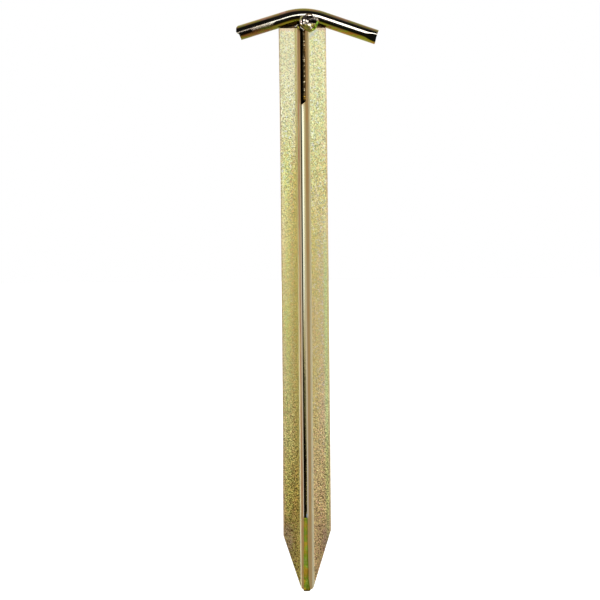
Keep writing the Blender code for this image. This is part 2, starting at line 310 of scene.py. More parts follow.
def make_shaft(material):
    bm = bmesh.new()
    levels = [-302.0] + [-299.0 + 6.5 * k for k in range(46) if k != 40] + [-40.4, -38.6, 0.0]
    levels.sort()
    loft(bm, [[(x, y, z) for x, y in section(z)] for z in levels])
    shaft = add_object("folded_shaft", bm, material, None)

    bm = bmesh.new()
    outline = point_outline()
    loft(bm, [[(x, y, z) for x, z in outline] for y in (-3.0, RIB_DEPTH + 3.0)])
    keep = add_object("outline_tool", bm, None)

    bm = bmesh.new()
    low_z, high_z = -SHAFT_LENGTH - 10.0, RIB_CUT_TOP + 12.0
    side = [
        (rib_cut_y(low_z), low_z),
        (rib_cut_y(high_z), high_z),
        (rib_cut_y(high_z) + 8.0, high_z),
        (rib_cut_y(high_z) + 8.0, low_z),
    ]
    loft(bm, [[(x, y, z) for y, z in side] for x in (-15.0, 15.0)])
    away = add_object("rib_cut_tool", bm, None)
    for tool, operation in ((keep, "INTERSECT"), (away, "DIFFERENCE")):
        modifier = shaft.modifiers.new(operation.lower(), "BOOLEAN")
        modifier.operation = operation
        modifier.solver = "EXACT"
        modifier.object = tool
    apply_modifiers(shaft)
    for tool in (keep, away):
        bpy.data.objects.remove(tool)

    # The sheared edges at the head, the point and the rib's cut are worn round.
    bm = bmesh.new()
    bm.from_mesh(shaft.data)
    bmesh.ops.remove_doubles(bm, verts=bm.verts, dist=2e-6)
    bmesh.ops.dissolve_degenerate(bm, edges=bm.edges, dist=1e-6)
    top = SHAFT_TOP * MM
    cut_normal = Vector((0.0, 1.0, -(RIB_DEPTH - RIB_CUT_NOSE_Y) / (RIB_CUT_TOP + SHAFT_LENGTH))).normalized()
    cut_edges = []
    for edge in bm.edges:
        if len(edge.link_faces) != 2 or edge.calc_face_angle() < math.radians(38.0):
            continue
        ends = [v.co for v in edge.verts]
        if abs(ends[0].z - ends[1].z) > 0.99 * (ends[0] - ends[1]).length:
            continue
        flat_top = all(abs(v.co.z - top) < 1e-6 for v in edge.verts)
        low = all(v.co.z < top + (CUT_RIGHT_START + 0.2) * MM for v in edge.verts)
        on_cut = any(abs(f.normal.dot(cut_normal)) > 0.999 for f in edge.link_faces)
        if flat_top or low or on_cut:
            cut_edges.append(edge)
    bmesh.ops.bevel(
        bm, geom=cut_edges, offset=0.22 * MM, offset_type="OFFSET", segments=3, profile=0.5,
        affect="EDGES", clamp_overlap=True,
    )
    bmesh.ops.remove_doubles(bm, verts=bm.verts, dist=1e-6)
    for vert in bm.verts:
        z = vert.co.z / MM - SHAFT_TOP
        vert.co.x += bow(z) * MM
    bmesh.ops.recalc_face_normals(bm, faces=bm.faces)
    bm.to_mesh(shaft.data)
    bm.free()
    shaft.data.shade_smooth()
    shaft.data.set_sharp_from_angle(angle=math.radians(40.0))
    even = shaft.modifiers.new("even_normals", "WEIGHTED_NORMAL")
    even.mode = "FACE_AREA"
    even.weight = 60
    even.keep_sharp = True
    apply_modifiers(shaft)
    return shaft


# ------------------------------------------------------------------- bent bar


def bar_length():
    half = math.radians(BAR_HALF_BEND)
    tangent = BAR_BEND_RADIUS * math.tan(half)
    return BAR_LEFT - tangent, 2 * half * BAR_BEND_RADIUS, BAR_RIGHT - tangent


def bar_place(s):
    """Centre line point and angle at a distance from the left end, about the corner."""
    left, bend, right = bar_length()
    half = math.radians(BAR_HALF_BEND)
    tangent = BAR_BEND_RADIUS * math.tan(half)
    if s < left:
        d = BAR_LEFT - s
        return -d * math.cos(half), -d * math.sin(half), half
    if s < left + bend:
        a = half - (s - left) / BAR_BEND_RADIUS
        centre_z = -BAR_BEND_RADIUS / math.cos(half)
        return -BAR_BEND_RADIUS * math.sin(a), centre_z + BAR_BEND_RADIUS * math.cos(a), a
    d = tangent + s - left - bend
    return d * math.cos(half), -d * math.sin(half), -half


def left_end(up, side):
    """How far the left end's face stands out of a plane square to the bar. The
    shear rolled the upper corner over, left a lip half way down and broke the
    rest off square."""
    face = -0.75 + 0.12 * up + 0.05 * wave((up, side, 0.0), 0.9, 3.1)
    roll = 0.0
    if up > 1.3:
        roll = -2.5 * (1.0 - math.sqrt(max(0.0, 1.0 - clamp((up - 1.3) / 2.7) ** 2)))
    lip = 0.25 * math.sin(clamp((up - 0.1) / 1.6) * math.pi)
    return lerp(face, roll + lip, smooth(-0.25, 0.25, up - 0.1 + 0.12 * math.sin(side * 1.7)))


def right_end(up, side):
    slope = 0.05 if up > 0 else -0.12
    return -0.30 + slope * up + 0.05 * wave((up, side, 0.0), 1.1, 7.7) - 0.15 * smooth(2.8, 4.0, -up) ** 2


def press(up, side, d):
    """The cropping tool flattened the front of the right end: d from the end."""
    lean = math.radians(-14.0)
    depth = 0.62 * smooth(7.6, 0.8, d)
    # Distance of the point along the flat's own direction, which faces the
    # camera and a little down.
    out = -side * math.cos(lean) + up * math.sin(lean)
    limit = BAR_RADIUS - depth
    if out > limit:
        shift = out - limit
        # A soft shoulder joins the flat to the round.
        shift *= 0.97
        side += shift * math.cos(lean)
        up -= shift * math.sin(lean)
    return up, side


def make_bar(material):
    bm = bmesh.new()
    sides = 72
    left, bend, right = bar_length()
    total = left + bend + right
    stations = []
    s = 3.2
    while s < total - 8.0:
        stations.append(s)
        s += 0.8
    stations += [total - 8.0 + 0.45 * k for k in range(17)]
    rings = []
    tilt = Matrix.Rotation(math.radians(BAR_TILT), 3, "Y")
    corner = Vector(BAR_CORNER)

    def point(s, up, side, out=0.0):
        x, z, a = bar_place(s)
        along = Vector((math.cos(a), 0.0, math.sin(a)))
        across = Vector((-math.sin(a), 0.0, math.cos(a)))
        return corner + tilt @ (Vector((x, 0.0, z)) + across * up + along * out) + Vector((0.0, side, 0.0))

    def round_point(k, s):
        turn = 2 * math.pi * (k + 0.5) / sides
        up, side = BAR_RADIUS * math.cos(turn), BAR_RADIUS * math.sin(turn)
        # Rolled stock: barely out of round, and a little flattened in the bend.
        inside = math.exp(-(((s - left - bend / 2) / 6.0) ** 2))
        if up < 0:
            up *= 1.0 - 0.02 * inside
        swell = 0.012 * wave((s * 0.35, up, side), 2.6, 1.3)
        return up * (1 + swell / BAR_RADIUS), side * (1 + swell / BAR_RADIUS)

    def end_ring(scale, which):
        ring = []
        for k in range(sides):
            turn = 2 * math.pi * (k + 0.5) / sides
            up = BAR_RADIUS * scale * math.cos(turn)
            side = BAR_RADIUS * scale * math.sin(turn)
            if which == "left":
                ring.append(point(0.0, up, side, -left_end(up, side)))
            else:
                up2, side2 = press(up, side, 0.0)
                ring.append(point(total, up2, side2, right_end(up, side)))
        return ring

    for scale in (0.25, 0.5, 0.7, 0.82, 0.9, 0.945, 0.97, 0.985, 0.995):
        rings.append(end_ring(scale, "left"))
    # The round body starts at the rim of the left end and runs to the stations.
    for q in (0.0, 0.12, 0.3, 0.55, 0.8):
        ring = []
        for k in range(sides):
            up, side = round_point(k, 0.0)
            start = -left_end(up, side)
            ring.append(point(0.0, up, side, lerp(start, 3.2, q)))
        rings.append(ring)
    for s in stations:
        ring = []
        for k in range(sides):
            up, side = round_point(k, s)
            up, side = press(up, side, total - s)
            ring.append(point(s, up, side))
        rings.append(ring)
    for q in (0.4, 0.75, 0.92, 1.0):
        ring = []
        for k in range(sides):
            up, side = round_point(k, total)
            far = right_end(up, side) - 0.12
            up, side = press(up, side, 0.35 * (1 - q))
            ring.append(point(total, up, side, lerp(-0.8, far, q)))
        rings.append(ring)
    for scale in (0.97, 0.93, 0.85, 0.7, 0.5, 0.25):
        rings.append(end_ring(scale, "right"))
    loft(bm, rings)
    return add_object("bent_bar", bm, material, 42.0)


# ----------------------------------------------------------------------- welds


def lump(name, material, centre, parts, shape, detail=6, blend=9.0, sharp=None):
    """A weld lump: the smooth union of ellipsoids round one centre, then moved
    point by point along its own direction by shape(point, direction)."""
    bm = bmesh.new()
    bmesh.ops.create_icosphere(bm, subdivisions=detail, radius=1.0)
    middle = Vector(centre)
    for vert in bm.verts:
        n = vert.co.normalized()
        total = 0.0
        for other, radii in parts:
            p = Vector([(middle[i] - other[i]) / radii[i] for i in range(3)])
            q = Vector([n[i] / radii[i] for i in range(3)])
            dot = p.dot(q)
            reach = (-dot + math.sqrt(dot * dot - q.dot(q) * (p.dot(p) - 1.0))) / q.dot(q)
            total += reach ** blend
        reach = total ** (1.0 / blend)
        vert.co = middle + n * (reach + shape(middle + n * reach, n))
    return add_object(name, bm, material, sharp)


def fused(name, material, body, balls, ropes, voxel, rounds, shape=None, sharp=None):
    """Molten lumps run together: a body made by body(bm), ellipsoids (centre,
    radii) and ropes (points, radii) joined into one skin, smoothed, then moved by
    shape(point, normal)."""
    bm = bmesh.new()
    body(bm)
    for centre, radii in balls:
        place = Matrix.Translation(centre) @ Matrix.Diagonal((*radii, 1.0))
        bmesh.ops.create_icosphere(bm, subdivisions=4, radius=1.0, matrix=place)
    for points, radii in ropes:
        for n in range(len(points) - 1):
            a, b = Vector(points[n]), Vector(points[n + 1])
            steps = max(2, int((b - a).length / 0.15))
            for k in range(steps + 1):
                t = k / steps
                place = Matrix.Translation(a.lerp(b, t)) @ Matrix.Scale(lerp(radii[n], radii[n + 1], t), 4)
                bmesh.ops.create_icosphere(bm, subdivisions=2, radius=1.0, matrix=place)
    mesh = bpy.data.meshes.new(name)
    bm.to_mesh(mesh)
    bm.free()
    thing = bpy.data.objects.new(name + "_lumps", mesh)
    bpy.context.scene.collection.objects.link(thing)
    skin = thing.modifiers.new("skin", "REMESH")
    skin.mode = "VOXEL"
    skin.voxel_size = voxel
    even = thing.modifiers.new("even", "SMOOTH")
    even.factor = 0.5
    even.iterations = rounds
    apply_modifiers(thing)
    bm = bmesh.new()
    bm.from_mesh(thing.data)
    bpy.data.objects.remove(thing)
    if shape:
        bm.normal_update()
        moved = [(vert, vert.co + vert.normal * shape(vert.co, vert.normal)) for vert in bm.verts]
        for vert, co in moved:
            vert.co = co
    return add_object(name, bm, material, sharp)


# The lump seen from the front, in (x, z). Its outline round WELD_MID, as angle and
# radius; the height of its face towards the camera down the middle; and strokes
# that lift, sink or tilt the face: (points with their own height, half width,
# softness, slope along x, slope along z).
WELD_MID = (3.39, 2.88)
WELD_LIFT = 0.7  # added to every height
WELD_OUTLINE = [
    (5.3, 5.78), (14.7, 5.47), (25.6, 5.29), (35.5, 4.88), (45.8, 4.17), (57.9, 4.48),
    (70.5, 4.75), (86.8, 4.70), (103.6, 4.61), (118.0, 4.59), (129.0, 4.45), (136.0, 4.90),
    (144.0, 5.08), (154.9, 5.16), (167.4, 5.12), (182.4, 4.96), (196.8, 4.80), (210.4, 4.10),
    (225.8, 4.02), (241.2, 4.62), (255.2, 4.58), (268.8, 4.91), (284.1, 5.06), (297.8, 4.94),
    (313.0, 5.10), (332.2, 5.03), (352.0, 5.37),
]
WELD_FACE = [
    (7.6, 1.45), (7.2, 2.12), (6.9, 2.36), (6.6, 2.45), (6.25, 2.44), (5.3, 2.10), (4.35, 1.76),
    (3.9, 1.82), (3.3, 1.93), (2.9, 1.84), (2.6, 1.70), (2.3, 1.72), (1.7, 1.82), (1.15, 1.94),
    (0.8, 1.78), (0.0, 1.33), (-1.0, 0.74), (-1.7, 0.28), (-2.3, -0.1),
]
WELD_STROKES = [
    # the pit, then the step on its left
    ([(3.9, 3.25, 0.75), (5.4, 3.05, 0.6), (7.0, 3.30, 0.7)], 0.50, 0.35, 0.0, 0.30),
    ([(5.0, 4.05, 1.35), (6.9, 4.15, 1.2)], 0.20, 0.35, 0.0, 0.45),
    # a narrow rib across the foot of the dome
    ([(2.5, 4.05, 1.95), (3.8, 4.35, 2.0), (5.2, 4.62, 1.95)], 0.14, 0.22, 0.0, -0.10),
    # two glints at the upper right, with a hollow between them
    ([(6.3, 5.35, 1.55), (6.9, 5.3, 1.5)], 0.35, 0.30, 0.0, 0.40),
    ([(6.2, 4.75, 1.75), (6.7, 4.62, 1.75)], 0.22, 0.20, -0.14, -0.14),
    ([(7.35, 5.0, 1.62), (7.5, 4.8, 1.6)], 0.20, 0.20, -0.14, -0.14),
    # the groove beside the left rim, and the rim
    ([(0.45, 5.9, 1.55), (0.22, 4.5, 1.05), (0.26, 2.9, 0.85), (0.45, 1.7, 0.7)], 0.15, 0.30, 0.0, 0.25),
    ([(0.05, 6.15, 2.15), (-0.72, 4.95, 2.05), (-0.95, 3.65, 1.92), (-0.62, 2.35, 1.70)], 0.32, 0.30, -0.14, -0.14),
    # the flat shelf on the left, and the lower one running up to it
    ([(0.95, 3.95, 1.86), (2.0, 3.75, 1.92), (2.85, 3.35, 1.96)], 0.52, 0.22, -0.10, -0.14),
    ([(1.0, 2.55, 1.72), (1.9, 1.95, 1.84), (3.2, 1.75, 1.90), (4.2, 1.60, 1.86)], 0.50, 0.22, -0.12, -0.14),
    # glints on the lower body
    ([(4.35, 0.75, 1.62), (4.9, -0.05, 1.30)], 0.32, 0.22, -0.10, -0.14),
    ([(4.2, -0.25, 1.18), (4.6, -0.45, 1.08)], 0.16, 0.20, -0.10, -0.14),
    ([(1.5, -0.3, 1.05), (1.9, -0.75, 0.85)], 0.16, 0.22, -0.05, -0.10),
    # the rim on the right, which faces outwards
    ([(8.40, 3.30, 1.15), (7.75, 1.90, 1.40), (6.90, 0.40, 1.32), (5.90, -0.75, 1.02)], 0.55, 0.25, -0.34, -0.12),
]


def through(points, v):
    """A smooth curve through (place, value) pairs whose places fall."""
    if v >= points[0][0]:
        return points[0][1]
    for n in range(len(points) - 1):
        (a, va), (b, vb) = points[n], points[n + 1]
        if v >= b:
            before = points[max(0, n - 1)]
            after = points[min(len(points) - 1, n + 2)]
            ta = (vb - before[1]) / (b - before[0]) * (b - a)
            tb = (after[1] - va) / (after[0] - a) * (b - a)
            s = (v - a) / (b - a)
            return (
                va * (2 * s ** 3 - 3 * s ** 2 + 1) + ta * (s ** 3 - 2 * s ** 2 + s)
                + vb * (3 * s ** 2 - 2 * s ** 3) + tb * (s ** 3 - s ** 2)
            )
    return points[-1][1]


def weld_radius(angle):
    """The outline's radius at an angle, smooth all the way round."""
    wrapped = [(a - 360.0, r) for a, r in WELD_OUTLINE[-3:]] + WELD_OUTLINE + [(a + 360.0, r) for a, r in WELD_OUTLINE[:3]]
    return through([(-a, r) for a, r in wrapped], -angle)


def weld_face(x, z):
    """How far the lump's face stands in front of y = 0."""
    h = through(WELD_FACE, z) - 0.014 * (x - 2.6) ** 2
    # Solidified in fine upright pleats at the left of the dome.
    pleats = smooth(0.5, 0.9, x) * smooth(3.0, 2.2, x) * smooth(4.4, 4.9, z) * smooth(6.4, 6.0, z)
    h += 0.05 * math.sin(2 * math.pi * (x + 0.08 * z) / 0.62) * pleats
    h += (0.035 + 0.045 * smooth(1.2, 0.2, z)) * wave((x, 0.0, z), 0.95, 4.2)
    for points, half, soft, slope_x, slope_z in WELD_STROKES:
        best = None
        for n in range(len(points) - 1):
            (ax, az, ah), (bx, bz, bh) = points[n], points[n + 1]
            ux, uz = bx - ax, bz - az
            s = clamp(((x - ax) * ux + (z - az) * uz) / (ux * ux + uz * uz))
            dx, dz = x - ax - ux * s, z - az - uz * s
            d = math.hypot(dx, dz)
            if best is None or d < best[0]:
                best = (d, lerp(ah, bh, s) + slope_x * dx + slope_z * dz)
        h = lerp(h, best[1], smooth(half + soft, half, best[0]))
    return h + WELD_LIFT


def weld_bed(x, z):
    """The steel behind the lump: the bar's front, the flange, or the gap between."""
    centre = 8.3 - 31.53 + math.sqrt(900.0 - (x - 1.2) ** 2)
    rise = BAR_RADIUS ** 2 - (z - centre) ** 2
    bar = math.sqrt(rise) - 2.9 if rise > 0 else -3.0
    flange = 0.0 if z < 0 and abs(x - 0.1) > 2.2 else -3.0
    return max(bar, flange, -0.3) - 0.22


def weld_body(bm):
    sides, steps = 220, 60
    rings = []
    for k in range(steps, 0, -1):
        r = k / steps
        ring = []
        for n in range(sides):
            angle = 360.0 * n / sides
            reach = weld_radius(angle)
            x = WELD_MID[0] + r * reach * math.cos(math.radians(angle))
            z = WELD_MID[1] + r * reach * math.sin(math.radians(angle))
            rounding = math.sqrt(1.0 - (1.0 - clamp((1.0 - r) * reach / 0.38)) ** 2)
            bed = weld_bed(x, z)
            ring.append((x, -lerp(bed, max(weld_face(x, z), bed), rounding), z))
        rings.append(ring)
    rings.insert(0, [(x, 0.6, z) for x, y, z in rings[0]])
    loft(bm, rings)


FRONT_BALLS = [
    ((-3.35, -0.15, 1.05), (0.72, 0.75, 0.55)),
    ((-2.45, -0.15, 1.75), (0.50, 0.70, 0.42)),
    ((-2.15, -0.10, 0.30), (0.48, 0.60, 1.15)),
    ((-1.0, 0.75, 1.0), (2.2, 0.9, 1.15)),
]
FRONT_ROPES = [
    ([(-0.75, -0.1, 0.55), (0.15, -0.1, -0.40), (0.75, -0.05, -1.15)], [0.30, 0.34, 0.26]),
]


def front_shape(p, n):
    return 0.02 * wave(p, 0.7, 9.1)


def rear_shape(sign):
    def shape(p, n):
        # Crescent ripples left by a torch that went outwards along the corner.
        along = sign * p.x + 0.10 * (p.z - 0.5) ** 2
        ripple = 0.09 * math.sin(2 * math.pi * along / 1.35)
        return ripple * clamp(n.y * 1.4 + 0.3) + 0.12 * wave(p, 2.2, 5.5 * sign) + 0.03 * wave(p, 0.7, 2.5)
    return shape


def make_slot_weld(material):
    """The bead in the head of the slot: a rippled face between the slot's walls."""
    bm = bmesh.new()
    columns = 16
    rings = []
    steps = 250
    for k in range(steps + 1):
        z = lerp(SLOT_WELD_END, 1.2, k / steps)
        gap = half_slot(z) + 0.18
        mid = fold_x(z) + bow(z)
        ring = []
        from_end = z - SLOT_WELD_END
        for c in range(columns + 1):
            v = lerp(-1.0, 1.0, c / columns)
            x = mid + gap * v
            # Depth of the face: dished beside the left wall, crowned to the right.
            depth = 1.75 - 0.45 * math.exp(-(((v - 0.35) / 0.55) ** 2)) + 0.35 * smooth(-0.2, -0.95, v)
            phase = z / 1.62 + 0.25 * v * v + 0.35 * wave((0.0, 0.0, z), 5.0, 1.9)
            crest = abs(math.sin(math.pi * phase)) ** 0.7
            depth -= 0.20 * crest * math.exp(-(((v - 0.2) / 0.6) ** 2))
            depth -= 0.10 * wave((x, 0.0, z), 0.7, 6.6)
            # The bead ends in a crater and then falls away to the slot's floor.
            crater = math.exp(-(((from_end - 2.2) / 1.0) ** 2) - ((v - 0.3) / 0.5) ** 2)
            depth += 0.55 * crater
            depth += 3.4 * (1.0 - smooth(-0.3, 1.1, from_end)) ** 2
            ring.append((x, depth, z))
        back_depth = 6.5
        ring.append((mid + gap, back_depth, z))
        ring.append((mid - gap, back_depth, z))
        rings.append(ring)
    loft(bm, rings)
    return add_object("slot_bead", bm, material, 60.0)


def make_tip_weld(material):
    """The smooth filling of the slot at the tip, with a rounded end."""
    bm = bmesh.new()
    columns = 18
    rings = []
    steps = 150
    for k in range(steps + 1):
        z = lerp(-299.95, TIP_WELD_TOP, k / steps)
        gap = half_slot(z)
        mid = fold_x(z) + bow(z)
        # The face slopes back from the left bend to the right one.
        shallow = 0.70 - 0.15 * smooth(-270.0, -284.0, z) + 0.08 * wave((0.0, 0.0, z), 7.0, 2.2) + 0.03 * wave((0.0, 0.0, z), 2.4, 0.4)
        deeper = shallow + 0.45 * smooth(-300.0, -292.0, z)
        # Where the face meets each bend.
        reach_l = gap + bend_reach(shallow, *left_bend(z)) + 0.12
        reach_r = gap + bend_reach(deeper, *right_bend(z)) + 0.12
        from_tip = z + 299.95
        round_off = math.sqrt(clamp(1.0 - (1.0 - clamp(from_tip / 1.5)) ** 2))
        from_top = TIP_WELD_TOP - z
        ring = []
        for c in range(columns + 1):
            v = lerp(-1.0, 1.0, c / columns)
            x = mid + (reach_l if v < 0 else reach_r) * v * lerp(0.35, 1.0, round_off)
            depth = lerp(shallow, deeper, (v + 1.0) / 2)
            depth += 0.14 * (1.0 - v * v) + 0.02 * wave((x, 0.0, z), 1.6, 8.0)
            depth += 1.4 * (1.0 - round_off) ** 2
            depth += 1.6 * (1.0 - smooth(-0.2, 0.6, from_top)) ** 2
            ring.append((x, depth, z))
        deep = max(deeper + 1.0, min(6.0, rib_cut_y(z) - 0.6))
        deep = lerp(min(deep, deeper + 1.4), deep, round_off)
        ring.append((mid + gap + 0.1, deep, z))
        ring.append((mid - gap - 0.1, deep, z))
        rings.append(ring)
    loft(bm, rings)
    return add_object("tip_fill", bm, material, 60.0)


def make_tip_rear_weld(material):
    """The bead that closes the rib's two plates along the diagonal cut."""
    bm = bmesh.new()
    slope = (RIB_DEPTH - RIB_CUT_NOSE_Y) / (RIB_CUT_TOP + SHAFT_LENGTH)
    down = Vector((0.0, -slope, -1.0)).normalized()
    out = Vector((0.0, 1.0, -slope)).normalized()
    start = Vector((0.0, RIB_DEPTH - 1.9 * slope, RIB_CUT_TOP - 1.9))
    run = 38.0
    steps = 190
    rings = []
    for k in range(steps + 1):
        s = run * k / steps
        size = math.sqrt(clamp(1.0 - (1.0 - clamp(min(s, run - s) / 1.6)) ** 2))
        size = max(size, 0.12)
        base = start + down * s
        mid = fold_x(base.z) + bow(base.z)
        ring = []
        for a in range(0, 361, 15):
            if a == 360:
                continue
            turn = math.radians(a)
            up = math.sin(turn)
            ripple = 0.05 * math.sin(2 * math.pi * (s + 0.35 * math.cos(turn) ** 2) / 1.5) * clamp(up)
            rise = (0.78 if up > 0 else 1.2) * size * up + ripple * size
            ring.append(base + out * (rise + 0.02 * wave(base, 1.4, 3.3)) + Vector((mid + 1.38 * size * math.cos(turn), 0.0, 0.0)))
        rings.append(ring)
    loft(bm, rings)
    return add_object("tip_rear_bead", bm, material, 60.0)


# ------------------------------------------------------------------- materials


class Graph:
    """Short names for building a shader out of nodes."""

    def __init__(self, tree):
        self.tree = tree

    def node(self, kind, **settings):
        made = self.tree.nodes.new(kind)
        for key, value in settings.items():
            setattr(made, key, value)
        return made

    def set(self, socket, value):
        if isinstance(value, bpy.types.NodeSocket):
            self.tree.links.new(value, socket)
        elif isinstance(value, (tuple, list)) and len(value) == 3 and socket.type == "RGBA":
            socket.default_value = (*value, 1.0)
        else:
            socket.default_value = value

    def math(self, operation, a, b=None, c=None, clamped=False):
        made = self.node("ShaderNodeMath", operation=operation, use_clamp=clamped)
        for socket, value in zip(made.inputs, (a, b, c)):
            if value is not None:
                self.set(socket, value)
        return made.outputs[0]

    def add(self, a, b):
        return self.math("ADD", a, b)

    def sub(self, a, b):
        return self.math("SUBTRACT", a, b)

    def mul(self, a, b):
        return self.math("MULTIPLY", a, b)

    def ease(self, value, low, high, a=0.0, b=1.0):
        """Smoothstep from a to b as value goes from low to high."""
        made = self.node("ShaderNodeMapRange", interpolation_type="SMOOTHSTEP")
        for name, v in (("Value", value), ("From Min", low), ("From Max", high), ("To Min", a), ("To Max", b)):
            self.set(made.inputs[name], v)
        return made.outputs["Result"]

    def line(self, value, low, high, a=0.0, b=1.0):
        made = self.node("ShaderNodeMapRange")
        for name, v in (("Value", value), ("From Min", low), ("From Max", high), ("To Min", a), ("To Max", b)):
            self.set(made.inputs[name], v)
        return made.outputs["Result"]

    def mix(self, factor, a, b, blend="MIX"):
        made = self.node("ShaderNodeMix", data_type="RGBA", blend_type=blend)
        self.set(made.inputs[0], factor)
        self.set(made.inputs[6], a)
        self.set(made.inputs[7], b)
        return made.outputs[2]

    def noise(self, vector, scale, detail=2.0, roughness=0.5, distortion=0.0):
        made = self.node("ShaderNodeTexNoise")
        self.set(made.inputs["Vector"], vector)
        self.set(made.inputs["Scale"], scale)
        self.set(made.inputs["Detail"], detail)
        self.set(made.inputs["Roughness"], roughness)
        self.set(made.inputs["Distortion"], distortion)
        return made.outputs["Fac"]

    def ramp(self, factor, stops, interpolation="LINEAR"):
        made = self.node("ShaderNodeValToRGB")
        made.color_ramp.interpolation = interpolation
        while len(made.color_ramp.elements) < len(stops):
            made.color_ramp.elements.new(0.5)
        for element, (place, colour) in zip(made.color_ramp.elements, stops):
            element.position = place
            element.color = (*colour, 1.0)
        self.set(made.inputs[0], factor)
        return made.outputs[0]

    def blend(self, factor, a, b):
        """A number that goes from a to b with the factor."""
        made = self.node("ShaderNodeMix", data_type="FLOAT")
        self.set(made.inputs[0], factor)
        self.set(made.inputs[2], a)
        self.set(made.inputs[3], b)
        return made.outputs[0]

    def shift(self, vector, by):
        made = self.node("ShaderNodeVectorMath", operation="ADD")
        self.set(made.inputs[0], vector)
        made.inputs[1].default_value = (by, -by, 0.5 * by)
        return made.outputs[0]

    def stretch(self, vector, by):
        made = self.node("ShaderNodeVectorMath", operation="MULTIPLY")
        self.set(made.inputs[0], vector)
        made.inputs[1].default_value = by
        return made.outputs[0]

    def place(self):
        """Object coordinates in millimetres, as a vector and as x, y, z, with z
        measured from the section's top edge."""
        at = self.node("ShaderNodeTexCoord").outputs["Object"]
        scaled = self.node("ShaderNodeVectorMath", operation="MULTIPLY_ADD")
        self.set(scaled.inputs[0], at)
        scaled.inputs[1].default_value = (1000.0, 1000.0, 1000.0)
        scaled.inputs[2].default_value = (0.0, 0.0, -SHAFT_TOP)
        parts = self.node("ShaderNodeSeparateXYZ")
        self.set(parts.inputs[0], scaled.outputs[0])
        return scaled.outputs[0], parts.outputs[0], parts.outputs[1], parts.outputs[2]

    def bump(self, height, distance, strength=1.0, normal=None):
        made = self.node("ShaderNodeBump")
        self.set(made.inputs["Height"], height)
        made.inputs["Distance"].default_value = distance
        self.set(made.inputs["Strength"], strength)
        if normal is not None:
            self.set(made.inputs["Normal"], normal)
        return made.outputs[0]


def metal(name):
    """A metallic material: its graph and its shader node."""
    material = bpy.data.materials.new(name)
    material.use_nodes = True
    shader = material.node_tree.nodes["Principled BSDF"]
    shader.inputs["Metallic"].default_value = 1.0
    return material, Graph(material.node_tree), shader


def srgb(r, g, b):
    """A colour given in 0-255 display values, as linear light."""
    def one(v):
        v /= 255.0
        return v / 12.92 if v <= 0.04045 else ((v + 0.055) / 1.055) ** 2.4
    return one(r), one(g), one(b)


